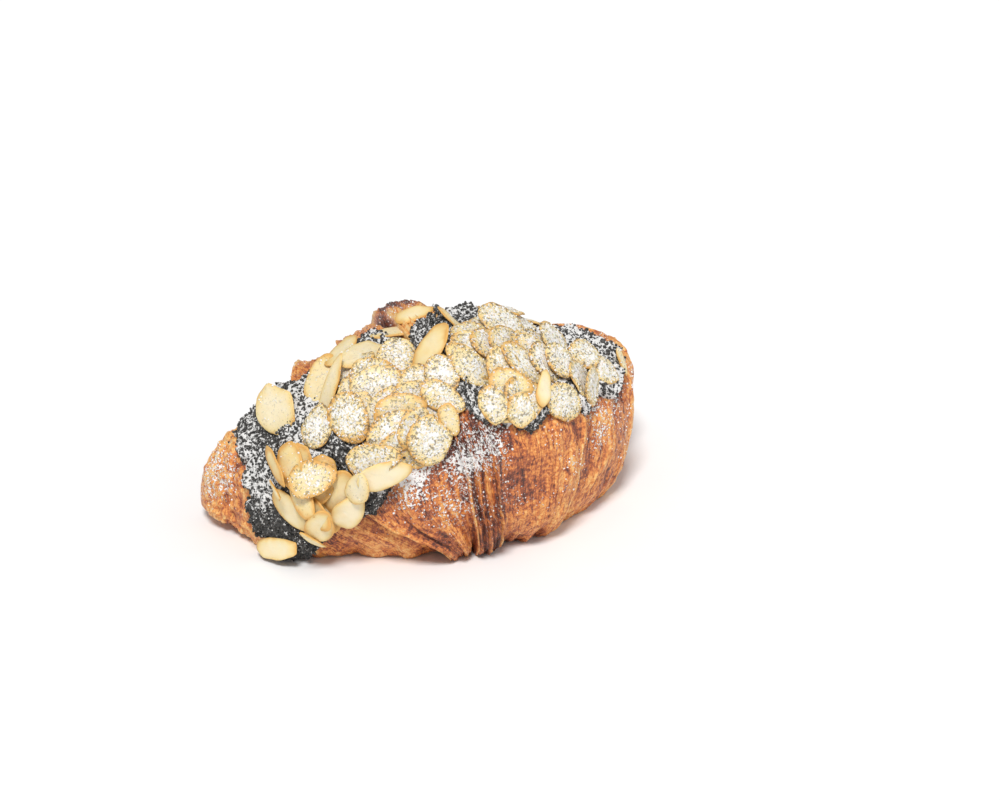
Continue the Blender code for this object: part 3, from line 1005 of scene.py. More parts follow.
@dataclass
class Crust:
    """The rolled pastry itself, with laminated folds, blisters and ragged lips."""

    roll: Roll
    shift: Array
    rings: int = 452
    columns: int = 212
    end_crowding: float = 0.5
    # Relief in metres: ribs and wrinkles along the wraps, leaves of dough, and the crumbly left tip
    rib: float = 0.00062
    ribs: int = 9
    sway: float = 0.9
    pleats: Zone = Zone(0.6, wraps=(2.25, 2.55, 3.0, 3.1))
    wrinkle: float = 0.00042
    rough: float = 0.0020
    rough_size: float = 0.0028
    rough_wraps: tuple = (0.35, 0.75)
    leaf: float = 0.00042
    leaf_edge: float = 0.22
    lip_leaf: float = 0.0002625
    lip_leaf_width: float = 0.035
    lip_reach: float = 0.13
    blister: float = 0.00045
    blister_size: float = 0.0075
    torn: float = 0.0007
    torn_size: float = 0.0035
    # One long crack: its wrap, half width in wraps, depth, and where round the roll it opens
    crack: tuple = (2.78, 0.030, 0.0008)
    crack_span: tuple = (38.0, 50.0, 92.0, 112.0)
    wobble: float = 0.045
    # Pattern coordinates: units per wrap, and radius of the circle round the roll
    wobbles: tuple = (0.4, 3.5)
    grain: tuple = (13.0, 2.6)
    base_span: tuple = (16.0, 42.0)
    end_fade: float = 0.25
    # Brownness, 0 pale to 1 dark: everywhere, by height of the wraps and of the fine relief, and by zone; the
    # hollows of the fine relief are darkened as painted shade
    pale: float = 0.44
    height_mark: float = 0.10
    height_scale: float = 0.004
    fold_shade_mark: float = 0.14
    band_fold_shade_mark: float = 0.22
    fold_scale: float = 0.0006
    cloud_mark: float = 0.07
    cloud_size: float = 0.010
    browned_and_shaded: tuple = (
        Zone(-0.06, wraps=(-2, -1, 0.5, 0.8)), Zone(0.08, wraps=(3.75, 4.05, 4.4, 5.2)),
        # Painted shade: darker just under the shoulder of the cream, along its front edge
        Zone(0.26, stations=(-0.42, -0.28, -0.12, 0.0), angles=(84, 104, 128, 150)),
        Zone(-0.05, angles=(195, 250, 400, 401)), Zone(0.10, angles=(-2, -1, 18, 40)),
        Zone(-0.06, stations=(-3, -2, -0.95, -0.80)),
    )
    band_browned: tuple = (Zone(0.12), Zone(0.18, angles=(-2, -1, 150, 190)),
                           Zone(-0.62, angles=(140, 168, 190, 215)))
    scorched: tuple = ((-0.340, 84, 0.045, 10, 0.28), (-0.31, 66, 0.05, 8, 0.10), (-0.52, 62, 0.07, 7, 0.10))
    # Lines along each lip: how far beyond it, half width, and how much browner; the darker line, at the foot of
    # each lip, is painted shade in the crease
    lip_lines: tuple = ((0.05, 0.035, -0.22), (-0.03, 0.040, 0.32))
    # Icing sugar: by zone, in the crease of one wrap, and in spots
    sugared: tuple = (Zone(0.24), Zone(-0.16, angles=(150, 172, 400, 401)))
    crease: tuple = (1.97, 0.07, 0.8)
    crease_span: tuple = (40.0, 52.0, 70.0, 92.0)
    sugar_spots: tuple = (
        (-0.90, 125, 0.09, 50, 0.50), (-0.36, 97, 0.055, 11, 0.62), (-0.235, 100, 0.040, 26, 0.50),
        (-0.16, 112, 0.035, 15, 0.6), (-0.12, 98, 0.030, 22, 0.4), (-0.43, 66, 0.10, 9, 0.55),
        (-0.27, 70, 0.050, 10, 0.30), (-0.30, 84, 0.05, 8, 0.4), (0.30, 160, 0.35, 45, 0.9),
        (-0.2, 205, 0.40, 18, 0.15),
    )
    sugar_cloud: float = 0.35
    sugar_cloud_size: float = 0.009
    sugar_lands: tuple = (-0.70, 0.20)
    most_sugar: float = 1.2
    skin: Skin | None = field(default=None, init=False)

    def ring_wraps(self) -> Array:
        """Wrap coordinates of the rings: even along the roll, and crowded where its ends close.

        Returns:
            One coordinate per ring.
        """
        dense = np.linspace(0.0, float(self.roll.wraps), 3001)
        wrap, angle = np.meshgrid(dense, np.array([80.0, 130.0, 200.0]), indexing="ij")
        station = self.roll.on_wraps(wrap, angle).station.mean(axis=1)
        even = np.linspace(-1.0, 1.0, self.rings + 2)[1:-1]
        crowded = 1.0 - (1.0 - np.abs(even)) ** (1.0 + self.end_crowding * np.abs(even) ** 6)
        return np.interp(np.sign(even) * crowded, station, dense)

    def ribbed(self, at: Places, grain: Array) -> Array:
        """Ribs and wrinkles along the wraps: swaying rounded waves, deepest on the band and its pleats.

        Args:
            at: Places on the roll.
            grain: Their places along the grain of the dough.

        Returns:
            Metres along the normal.
        """
        sway = self.sway * Random.RIB_SWAY.noise.at(grain, 3.1)
        waves = np.abs(np.sin(np.pi * (self.ribs * (at.wrap - self.roll.band) + sway))) ** 0.7 - 0.6
        pleated = np.maximum(at.band, Zone.total([self.pleats], at))
        depth = self.rib * (0.25 + 1.05 * pleated) * (0.8 + 0.6 * Random.RIB_DEPTH.noise.at(at.plain, 0.006))
        wrinkles = Random.WRINKLES.noise.layered(grain, 1.0, 3, 0.6)
        return depth * waves + self.wrinkle * (1.0 - 0.6 * at.band) * wrinkles

    def leaved(self, at: Places, grain: Array) -> Array:
        """Leaves of dough: a smooth field cut into steps all over, and narrow steps beside each lip.

        Args:
            at: Places on the roll.
            grain: Their places along the grain of the dough.

        Returns:
            Metres along the normal.
        """
        level = 2.6 * Random.LEAVES.noise.layered(grain * 0.55, 1.0, 2, 0.5)
        level = level + 2.0 * Random.LEAF_DRIFT.noise.at(at.plain, 0.012)
        height = self.leaf * (np.floor(level) + smoothstep((level - np.floor(level)) / self.leaf_edge))
        sway = 0.02 * np.sin(5.0 * np.radians(at.angle))
        for edge in range(1, self.roll.wraps):
            beyond = at.beyond(edge)
            leaves = np.floor((beyond + 0.10 + sway) / self.lip_leaf_width)
            height = height + self.lip_leaf * np.clip(leaves, -1.0, 3.0) * bell(beyond, 0.0, self.lip_reach)
        return height

    def detail(self, at: Places, grain: Array) -> Array:
        """Fine relief: ribs, leaves, blisters, a crumbly tip, torn skin and the crack.

        Args:
            at: Places on the roll.
            grain: Their places along the grain of the dough.

        Returns:
            Metres along the normal.
        """
        height = self.ribbed(at, grain) + self.leaved(at, grain)
        rough = self.rough * fade(at.wrap, *self.rough_wraps)
        height = height + rough * (Random.TIP_CRUMBS.noise.pebbles(at.plain, self.rough_size) - 0.4)
        height = height + self.blister * Random.BLISTERS.noise.layered(at.plain, self.blister_size, 3, 0.45)
        torn = np.clip(Random.TORN_SKIN.noise.layered(at.plain, self.torn_size, 2, 0.5) - 0.45, 0.0, 1.0)
        wrap, half_width, depth = self.crack
        crack = bell(at.wrap - 0.03 * Random.CRACK_PATH.noise.at(at.plain, 0.006), wrap, half_width)
        return height - depth * crack * window(at.angle, self.crack_span) - self.torn * torn

    def bake(self, at: Places, fine: Array) -> Array:
        """Brownness: higher wraps are browner and deeper folds darker as painted shade, plus zones, scorched
        spots and lip lines, some of them painted shade too.

        Args:
            at: Places on the roll.
            fine: Height of the fine relief there.

        Returns:
            0 pale to 1 dark.
        """
        height = np.clip((at.relief - at.relief.mean()) / self.height_scale, -1.5, 1.5)
        folds = np.clip((fine - fine.mean()) / self.fold_scale, -1.4, 1.1)
        # Hollows of the fine relief are made darker: painted shade in the folds and between the ribs
        darker = self.pale + self.height_mark * height - (self.fold_shade_mark + self.band_fold_shade_mark * at.band) * folds
        darker = darker + self.cloud_mark * Random.BAKE_CLOUDS.noise.layered(at.plain, self.cloud_size, 3, 0.6)
        darker = darker + Zone.total(self.browned_and_shaded, at) + at.band * Zone.total(self.band_browned, at)
        darker = darker + spots(at, self.scorched)
        # Lines along the lips: the darker one, in the crease at the foot of each lip, is painted shade
        for edge in range(1, self.roll.wraps):
            for beyond, half_width, mark in self.lip_lines:
                darker = darker + mark * bell(at.beyond(edge), beyond, half_width)
        return np.clip(darker, 0.0, 1.0)

    def sugar(self, at: Places) -> Array:
        """Icing sugar: zones, spots, the crease and clouds, only where the crust faces up enough.

        Args:
            at: Places on the roll.

        Returns:
            0 bare to 1.2 thick.
        """
        wrap, half_width, strength = self.crease
        amount = strength * bell(at.wrap, wrap, half_width) * window(at.angle, self.crease_span)
        amount = amount + Zone.total(self.sugared, at) + spots(at, self.sugar_spots)
        clouds = Random.CRUST_SUGAR.noise.layered(at.plain, self.sugar_cloud_size, 2, 0.6)
        amount = np.clip(amount + self.sugar_cloud * clouds, 0.0, self.most_sugar)
        return amount * ramp(at.normal[..., 2], *self.sugar_lands)

    def build(self, material: bpy.types.Material) -> bpy.types.Object:
        """Build the crust: rings round the roll, closed by a pole at each end.

        Args:
            material: Its finish.

        Returns:
            The piece.
        """
        columns = np.arange(self.columns) * 360.0 / self.columns
        even = self.roll.on_wraps(*np.meshgrid(self.ring_wraps(), columns, indexing="ij"))
        grain = even.pattern(*self.grain)
        ragged = Random.RAGGED_LIPS.noise.layered(even.pattern(*self.wobbles), 1.0, 3, 0.5)
        ragged = even.wrap + self.wobble * ragged
        at = replace(even, wrap=np.clip(ragged, 0.0, self.roll.wraps - 1e-6))
        free = smoothstep(np.minimum(even.wrap, self.roll.wraps - even.wrap) / self.end_fade)
        fine = self.detail(at, grain) * (ramp(at.from_base, *self.base_span) * free)
        points = at.raised(at.relief + fine)
        points[..., 2] = np.maximum(points[..., 2], 0.0)

        tips = self.roll.plain(np.array([-1.0, 1.0]), np.array([0.0, 0.0]))
        middles = np.stack([points[0].mean(axis=0), points[-1].mean(axis=0)])
        poles = middles + 0.4 * (tips - middles)
        flat = np.concatenate([points.reshape(-1, 3), poles]) + self.shift
        quads = Pieces.grid_faces(self.rings, self.columns, True)
        count = self.rings * self.columns
        first = np.arange(self.columns)
        fans = [Pieces.fan(first, count, False), Pieces.fan(first + count - self.columns, count + 1, True)]

        def whole(data: Array) -> Array:
            """Add the two poles' values to the grid's."""
            ends = np.stack([data[0].mean(axis=0), data[-1].mean(axis=0)])
            return np.concatenate([data.reshape(-1, *data.shape[2:]), ends])

        sugar = self.sugar(at)
        bare = LayerForm(self.roll).inside(at) < 0.001
        self.skin = Skin.of(flat, quads, np.clip(whole(sugar * bare) - 0.12, 0.0, 1.0))
        # The bake attribute carries painted shade in the folds, in the creases under the lips and under the
        # cream's front edge, besides the browning
        values = {"bake": whole(self.bake(at, fine)), "sugar": whole(sugar), "grain": whole(grain)}
        piece = Pieces.build("crust", flat, [quads, *fans], values, material, "crust")
        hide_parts("pastry")
        return piece


@dataclass
class SesameCream:
    """Crumbly layer of baked black sesame cream with a ragged rim."""

    form: LayerForm
    shift: Array
    rows: int = 330
    columns: int = 140
    margin: float = 0.0022
    ragged: float = 0.0016
    ragged_size: float = 0.0032
    rim_width: float = 0.0014
    pebble: float = 0.0018
    pebble_height: float = 0.0013
    grit: float = 0.0004
    grit_size: float = 0.0042
    buried: float = 0.0016
    thinnest: float = 0.0004
    # The grid starts at this station and angle, and reaches past the outline by these slacks
    start: tuple = (-0.85, 150.0)
    slack: tuple = (0.018, 4.0)
    passes: int = 12
    sugared: tuple = (Zone(0.60), Zone(0.26, angles=(82, 130, 400, 401)), Zone(0.30, stations=(-0.1, 0.3, 3, 4)))
    sugar_cloud: float = 0.30
    sugar_cloud_size: float = 0.011
    sugar_lands: tuple = (-1.4, 0.0)
    sugar_on_lumps: float = 0.25
    most_sugar: float = 1.2
    skin: Skin | None = field(default=None, init=False)

    def domain(self) -> Places:
        """Grid that fills the outline and a margin round it, found by reading one side from the other.

        Returns:
            Its places.
        """
        form = self.form
        u, v = np.meshgrid(np.linspace(0.0, 1.0, self.rows), np.linspace(0.0, 1.0, self.columns), indexing="ij")
        reach = self.margin + self.ragged
        station = self.start[0] + (form.right - self.start[0]) * u
        angle = np.full_like(station, self.start[1])
        station_reach = self.slack[0] + reach / form.roll.half_chord
        angle_reach = self.slack[1] + reach / form.per_degree
        for _ in range(self.passes):
            front = form.read(form.front, station) - angle_reach
            back = form.read(form.back, station) + angle_reach
            angle = 0.5 * angle + 0.5 * (front + (back - front) * v)
            left = form.read(form.left, angle) - station_reach
            station = left + (form.right + station_reach - left) * u
        return form.roll.at(station, angle)

    def build(self, material: bpy.types.Material) -> bpy.types.Object:
        """Build the layer as a closed shell: a crumbled outer face, and an inner one under the crust.

        Args:
            material: Its finish.

        Returns:
            The piece.
        """
        at = self.domain()
        inside = self.form.inside(at)
        inside = inside + self.ragged * Random.CREAM_RIM.noise.layered(at.plain, self.ragged_size, 3, 0.6)
        body = smoothstep(inside / self.rim_width)
        lumps = Random.CREAM_LUMPS.noise.pebbles(at.plain, self.pebble) - 0.45
        small = Random.CREAM_CRUMBS.noise.pebbles(at.plain, 0.5 * self.pebble) - 0.45
        crumbs = self.pebble_height * (lumps + 0.5 * small)
        crumbs = crumbs + self.grit * Random.CREAM_GRIT.noise.layered(at.plain, self.grit_size, 3, 0.6)
        top = self.form.height(at, inside) + body * crumbs - (1.0 - body) * self.buried
        bottom = np.minimum(at.relief - self.buried, top - self.thinnest)
        faces = np.stack([at.raised(top), at.raised(bottom)])
        faces[..., 2] = np.maximum(faces[..., 2], self.form.clear)
        clouds = Random.CREAM_SUGAR.noise.layered(at.plain, self.sugar_cloud_size, 2, 0.6)
        sugar = Zone.total(self.sugared, at) + self.sugar_cloud * clouds
        sugar = sugar * ramp(at.normal[..., 2], *self.sugar_lands)
        sugar = np.clip(sugar + self.sugar_on_lumps * (lumps - 0.1), 0.0, self.most_sugar)

        count = self.rows * self.columns
        flat = faces.reshape(-1, 3) + self.shift
        upper = Pieces.grid_faces(self.rows, self.columns, False)
        lower = (upper + count)[:, ::-1]
        grid = np.arange(count).reshape(self.rows, self.columns)
        rim = np.concatenate([grid[:, 0], grid[-1, 1:], grid[-2::-1, -1], grid[0, -2:0:-1]])
        after = np.roll(rim, -1)
        wall = np.stack([after, rim, rim + count, after + count], axis=-1)
        values = {"sugar": np.concatenate([sugar.ravel(), np.zeros(count)])}
        self.skin = Skin.of(flat[:count], upper, (sugar * body * (inside > 0.0)).ravel())
        piece = Pieces.build("sesame_cream", flat, [upper, lower, wall], values, material, "sesame_topping")
        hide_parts("sesame_topping")
        return piece


@dataclass(frozen=True)
class Flake:
    """One slice of almond on the layer: where, which way and how large, in millimetres and degrees."""

    station: float
    angle: float
    heading: float
    length: float
    width: float
    toast: float = 0.3
    sugar: float = 0.6
    pitch: float = 0.0
    bank: float = 0.0
    rise: float = 0.0
    lean: float = 0.0


@dataclass(frozen=True)
class Row:
    """Flakes laid along a line between two places, each a (station, angle)."""

    first: tuple
    last: tuple
    many: int
    heading: float
    toast: float
    sugar: float

    def flakes(self, rng: np.random.Generator) -> list[Flake]:
        """Space the flakes evenly and shift, turn and size each a little at random.

        Args:
            rng: Seeded source of the draws, seven for each flake.

        Returns:
            The flakes.
        """
        laid = []
        for share in (np.arange(self.many) + 0.5) / self.many:
            draws = rng.uniform(-1.0, 1.0, 7)
            station, angle = (a + (b - a) * share for a, b in zip(self.first, self.last))
            laid.append(Flake(station + 0.014 * draws[0], angle + 3.0 * draws[1], self.heading + 30.0 * draws[2],
                              15.2 + 1.6 * draws[3], 10.2 + 1.2 * draws[4],
                              max(0.0, self.toast + 0.2 * draws[5]), self.sugar + 0.1 * draws[6]))
        return laid


# The flakes under the others: one at the foot of the left end, and rows
BASE_FLAKE = Flake(-0.700, 66.0, 14, 18.4, 4.8, 0.20, 0.0, bank=-30, rise=1.2)
ROWS = (
    Row((-0.50, 149), (-0.29, 144), 3, 15, 0.25, 0.9), Row((-0.50, 130), (-0.25, 131), 4, 30, 0.3, 0.9),
    Row((-0.46, 112), (-0.30, 112), 3, 25, 0.3, 0.7), Row((-0.18, 156), (0.09, 151), 4, 10, 0.25, 0.85),
    Row((-0.18, 141), (0.08, 137), 4, -20, 0.25, 0.9), Row((-0.05, 172), (0.09, 168), 1, 30, 0.25, 0.9),
    Row((-0.61, 88), (-0.52, 92), 2, 65, 0.75, 0.1), Row((-0.645, 110), (-0.58, 98), 2, 70, 0.7, 0.3),
    Row((0.10, 125), (0.24, 130), 1, -20, 0.2, 0.85), Row((0.15, 182), (0.44, 178), 2, 0, 0.2, 0.8),
    Row((-0.13, 127), (-0.04, 121), 2, -45, 0.25, 0.8),
)
# The flakes on top, in the order in which they fall
FLAKES = (
    Flake(0.19, 172, 15, 15.0, 10.5, 0.15, 0.85), Flake(0.06, 118, -30, 14.5, 10.0, 0.25, 0.8),
    Flake(0.20, 122, 15, 15.0, 10.0, 0.2, 0.8), Flake(0.32, 128, -20, 14.0, 9.5, 0.2, 0.8),
    Flake(0.16, 150, 0, 15.5, 10.5, 0.2, 0.85), Flake(-0.46, 158, 20, 15.5, 10.0, 0.25, 0.85),
    Flake(-0.532, 151, 40, 17.2, 6.6, 0.25, 0.20), Flake(-0.563, 164, 58, 17.0, 9.0, 0.35, 0.35, bank=-6),
    Flake(-0.421, 166, 54, 18.0, 12.0, 0.10, 0.30), Flake(-0.476, 174, 60, 15.6, 9.0, 0.42, 0.20, bank=-6),
    Flake(-0.295, 181, -22, 15.5, 8.5, 0.30, 0.35), Flake(-0.190, 182, -12, 12.5, 7.0, 0.48, 0.10, lean=8),
    Flake(0.173, 178, -60, 14.0, 9.5, 0.20, 0.80), Flake(-0.120, 172, -60, 12.5, 6.5, 0.30, 0.15, lean=10),
    Flake(-0.335, 159, 50, 14.0, 9.5, 0.20, 0.90), Flake(-0.409, 144, 8, 15.6, 11.8, 0.15, 0.85),
    Flake(-0.319, 141, 55, 15.0, 8.5, 0.30, 0.85), Flake(-0.366, 129, 8, 15.5, 8.5, 0.60, 0.65),
    Flake(-0.388, 119, 20, 16.5, 11.5, 0.30, 0.90), Flake(-0.443, 108, 4, 16.5, 10.2, 0.25, 0.85),
    Flake(-0.420, 101, 9, 16.5, 8.0, 0.10, 0.05, bank=-8), Flake(-0.491, 130, -55, 15.6, 12.2, 0.50, 0.85),
    Flake(-0.577, 133, 48, 14.0, 10.5, 0.10, 0.9), Flake(-0.344, 120, 51, 13.0, 7.0, 0.30, 0.80),
    Flake(-0.111, 163, 29, 15.0, 10.5, 0.35, 0.85), Flake(-0.164, 146, -33, 14.5, 7.5, 0.35, 0.80),
    Flake(-0.093, 131, -28, 13.8, 9.0, 0.45, 0.55), Flake(-0.082, 139, -38, 14.2, 10.2, 0.30, 0.80),
    Flake(0.034, 146, -30, 12.5, 9.4, 0.30, 0.80), Flake(-0.005, 126, 55, 12.0, 5.2, 0.30, 0.10),
    Flake(-0.093, 118, -55, 10.5, 7.5, 0.25, 0.80), Flake(-0.152, 123, -60, 12.0, 7.5, 0.15, 0.85),
    Flake(-0.242, 143, -55, 11.5, 9.2, 0.25, 0.90), Flake(-0.260, 131, -34, 13.0, 8.2, 0.30, 0.85),
    Flake(-0.258, 121, -75, 8.5, 6.0, 0.30, 0.50), Flake(-0.309, 114, 42, 15.5, 12.4, 0.25, 0.85, rise=0.6),
    Flake(-0.240, 156, 44, 16.2, 9.6, 0.52, 0.0, pitch=8, rise=0.8),
    Flake(-0.511, 88, 52, 13.5, 8.4, 0.12, 0.0, rise=0.5), Flake(-0.482, 97, 59, 11.5, 7.4, 0.10, 0.35, rise=1),
    Flake(-0.577, 84, 63, 13.0, 8.2, 0.45, 0.05, rise=1.5), Flake(-0.662, 88, -38, 16.5, 8.8, 0.35, 0.05),
    Flake(-0.587, 88, -48, 11.5, 8.6, 0.85, 0.10), Flake(-0.618, 93, -72, 13.5, 8.0, 0.60, 0.25),
    Flake(-0.590, 103, 7, 14.5, 10.5, 0.50, 0.70, rise=1.4),
    Flake(-0.647, 112, -75, 13.0, 9.6, 0.62, 0.25, pitch=-6),
    Flake(-0.688, 112, -60, 15.2, 5.2, 0.95, 0.0, bank=6, rise=1),
    Flake(-0.684, 98, -47, 8.5, 1.9, 0.30, 0.0, rise=1.2), Flake(-0.596, 76, -66, 11.5, 2.5, 0.25, 0.0, rise=0.8),
    Flake(-0.690, 153, 58, 12.8, 16.2, 0.0, 0.30, rise=0.2, lean=36),
    Flake(0.045, 167, -50, 16.0, 12.6, 0.20, 0.85), Flake(0.107, 137, -22, 13.5, 10.5, 0.15, 0.85),
    Flake(0.263, 141, 12, 13.5, 10.5, 0.15, 0.85), Flake(0.434, 127, -70, 9.0, 5.0, 0.20, 0.40),
)


@dataclass(frozen=True)
class Seat:
    """Place of a flake on the layer: its middle, its own axes, and what a metre is there."""

    flake: Flake
    centre: Array
    along: Array
    up: Array
    out: Array
    per_station: float
    per_degree: float

    @staticmethod
    def of(flake: Flake, form: LayerForm) -> "Seat":
        """Find the tangents of the roll under a flake.

        Args:
            flake: The flake.
            form: The layer that it lies on.

        Returns:
            Its seat.
        """
        at = form.roll.at(np.array([[flake.station]]), np.array([[flake.angle]]))
        along, around = (step[0, 0] for step in form.roll.tangents(at.station, at.angle))
        per_station, per_degree = np.linalg.norm(along), np.linalg.norm(around)
        out = np.cross(along, around)
        out, along = out / np.linalg.norm(out), along / per_station
        return Seat(flake, form.points(at)[0, 0], along, np.cross(out, along), out, per_station, per_degree)

    @property
    def axes(self) -> tuple[Array, Array]:
        """Unit vectors along the flake's length and across it."""
        heading = math.radians(self.flake.heading)
        long_axis = math.cos(heading) * self.along + math.sin(heading) * self.up
        return long_axis, np.cross(self.out, long_axis)

    def places(self, x: Array, y: Array) -> tuple[Array, Array]:
        """Station and angle of points in the flake's own plane."""
        step = np.multiply.outer(x, self.axes[0]) + np.multiply.outer(y, self.axes[1])
        return (self.flake.station + step @ self.along / self.per_station,
                self.flake.angle + step @ self.up / self.per_degree)


@dataclass
class AlmondFlakes:
    """Slices of almond that settle on the layer and on each other, one after another."""

    form: LayerForm
    shift: Array
    thickness: float = 0.00085
    sides: int = 30
    # The pile is kept as heights on cells of station and angle
    cells: tuple = (300, 330)
    station_span: tuple = (-0.95, 0.70)
    angle_span: tuple = (20.0, 230.0)
    # Flakes in front lean out by an angle that eases in, and out again towards the top
    lean: float = 27.0
    lean_span: tuple = (105.0, 155.0, 160.0, 182.0)
    steepest: float = 0.55
    rests_on: float = 0.93
    tallest: float = 0.0034
    floor_gap: float = 0.0007
    ripple: float = 0.00022
    ripples: tuple = (800.0, 900.0)
    # Radii of the curl along and across, each the least and how much more it may be, and the twist
    curls: tuple = ((0.045, 0.07), (0.060, 0.08))
    twist: float = 14.0
    samples: int = 26
    farthest: float = 0.97
    # How much more toasted the lower edges and undersides are: partly toast, partly painted shade along the
    # flakes' edges
    underside_toast_and_shade: float = 0.45
    frosted: float = 0.07
    frosted_span: tuple = (-0.08, 0.06)
    seed: int = 31
    # Section of a slice: share from middle to rim, and height in thicknesses; the first five rings face up
    profile: tuple = ((0.45, 0.50), (0.78, 0.50), (0.93, 0.42), (0.985, 0.24), (1.0, 0.0), (0.985, -0.24),
                      (0.93, -0.42), (0.6, -0.50))
    upper_rings: int = 5
    skin: Skin | None = field(default=None, init=False)

    def outline(self, flake: Flake, turn: Array, draws: Array) -> tuple[Array, Array]:
        """Egg-shaped rim: an ellipse narrowed towards one end, with small waves and at times a broken tip.

        Args:
            flake: The flake.
            turn: Angles round it.
            draws: Its random numbers.

        Returns:
            Metres along and across it.
        """
        half_length, half_width = 0.0005 * flake.length, 0.0005 * flake.width
        taper = 0.08 + 0.16 * draws[0]
        waves = ((0.030, 2.0, draws[1]), (0.026, 3.0, draws[2]), (0.012, 6.0, draws[3]), (0.009, 9.0, draws[4]))
        wave = 1.03 + sum(size * np.sin(turns * turn + 6.3 * draw) for size, turns, draw in waves)
        x = half_length * np.cos(turn) * wave
        y = half_width * np.sin(turn) * (1.0 - taper * np.cos(turn)) * wave
        broken = half_length * (0.70 + 0.25 * draws[4])
        return np.where(draws[5] > 0.66, np.minimum(x, broken + 0.1 * y), x), y

    def cell_of(self, station: Array, angle: Array) -> tuple[Array, Array]:
        """Cells of the pile at some places.

        Args:
            station: Stations of the places.
            angle: Their angles.

        Returns:
            Row and column of each.
        """
        spans = (self.station_span, self.angle_span)
        shares = ((value - low) / (high - low) for value, (low, high) in zip((station, angle), spans))
        row, column = (np.clip((share * cells).astype(int), 0, cells - 1)
                       for share, cells in zip(shares, self.cells))
        return row, column

    def tilt(self, flake: Flake, draw: float) -> tuple[float, float]:
        """Slope that a flake takes on top of the one under it: its own, and its lean out of the pile.

        Args:
            flake: The flake.
            draw: A random number.

        Returns:
            Rise per metre along and across the flake.
        """
        lean = self.lean * float(window(flake.angle, self.lean_span)) * (0.7 + 0.6 * draw)
        lean = math.tan(math.radians(flake.lean or lean))
        heading = math.radians(flake.heading)
        return (math.tan(math.radians(flake.pitch)) + lean * math.sin(heading),
                math.tan(math.radians(flake.bank)) + lean * math.cos(heading))

    def settle(self, flake: Flake, pile: Array, draws: Array) -> tuple[Array, Array]:
        """Lay a flake on the layer and the flakes below it, by the plane that best fits what is under it.

        Args:
            flake: The flake.
            pile: Height of the flakes over the layer, on the grid of cells; it is raised under this one.
            draws: Its random numbers.

        Returns:
            Vertex places, and the share from middle to rim of each.
        """
        seat = Seat.of(flake, self.form)
        turn = np.arange(self.sides) * 2.0 * np.pi / self.sides
        rim_x, rim_y = self.outline(flake, turn, draws)
        curl = [1.0 / (least + more * draw) for (least, more), draw in zip(self.curls, draws[6:8])]

        def bow(x: Array, y: Array) -> Array:
            """Curl and twist of the slice."""
            return -0.5 * (curl[0] * x * x + curl[1] * y * y) + self.twist * (draws[8] - 0.5) * x * y

        shares = np.linspace(0.0, 1.0, self.samples)
        x, y = np.outer(shares, rim_x), np.outer(shares, rim_y)
        station, angle = seat.places(x, y)
        at = self.form.roll.at(np.clip(station, -self.farthest, self.farthest), angle)
        ground = (self.form.points(at) - seat.centre) @ seat.out
        cells = self.cell_of(station, angle)
        under = ground + pile[cells]
        columns = np.stack([x.ravel(), y.ravel(), np.ones(x.size)], axis=-1)
        slope = np.linalg.lstsq(columns, under.ravel(), rcond=None)[0][:2]
        slope = np.clip(slope, -self.steepest, self.steepest) + self.tilt(flake, draws[6])
        plane = slope[0] * x + slope[1] * y + bow(x, y)
        lift = np.quantile(under - plane, self.rests_on) + 0.5 * self.thickness
        lift = min(lift, self.tallest) + 0.001 * flake.rise
        np.maximum.at(pile, cells, plane + lift + 0.5 * self.thickness - ground)

        radii, heights = np.array(self.profile).T
        x, y = np.outer(radii, rim_x), np.outer(radii, rim_y)
        z = slope[0] * x + slope[1] * y + bow(x, y) + lift + self.thickness * heights[:, None]
        phases = 6.0 * draws[1], 6.0 * draws[2]
        z = z + self.ripple * np.sin(self.ripples[0] * x + phases[0]) * np.sin(self.ripples[1] * y + phases[1])
        x, y, z = (np.concatenate([ring.ravel(), [0.0, 0.0]]) for ring in (x, y, z))
        z[-2:] = lift + 0.5 * self.thickness, lift - 0.5 * self.thickness
        points = seat.centre + np.outer(x, seat.axes[0]) + np.outer(y, seat.axes[1]) + np.outer(z, seat.out)
        points[:, 2] = np.maximum(points[:, 2], self.floor_gap)
        return points, np.concatenate([np.repeat(radii, self.sides), [0.0, 0.0]])

    def build(self, material: bpy.types.Material) -> bpy.types.Object:
        """Build all flakes as one piece.

        Args:
            material: Their finish.

        Returns:
            The piece.
        """
        rings = len(self.profile)
        count = rings * self.sides
        ring = np.arange(self.sides)
        quads = Pieces.grid_faces(rings, self.sides, True)
        fans = np.concatenate([Pieces.fan(ring, count, False),
                               Pieces.fan(ring + count - self.sides, count + 1, True)])
        facing = np.where(np.arange(count + 2) < self.upper_rings * self.sides, 1.0, 0.0)
        facing[-2:] = 1.0, 0.0
        rng = np.random.default_rng(self.seed)
        laid = [flake for row in ROWS for flake in row.flakes(rng)]
        pile = np.zeros(self.cells)
        blocks, rims, toasts_and_shade, sugars = [], [], [], []
        for flake in (BASE_FLAKE, *laid, *FLAKES):
            points, rim = self.settle(flake, pile, rng.random(9))
            blocks.append(points)
            rims.append(rim)
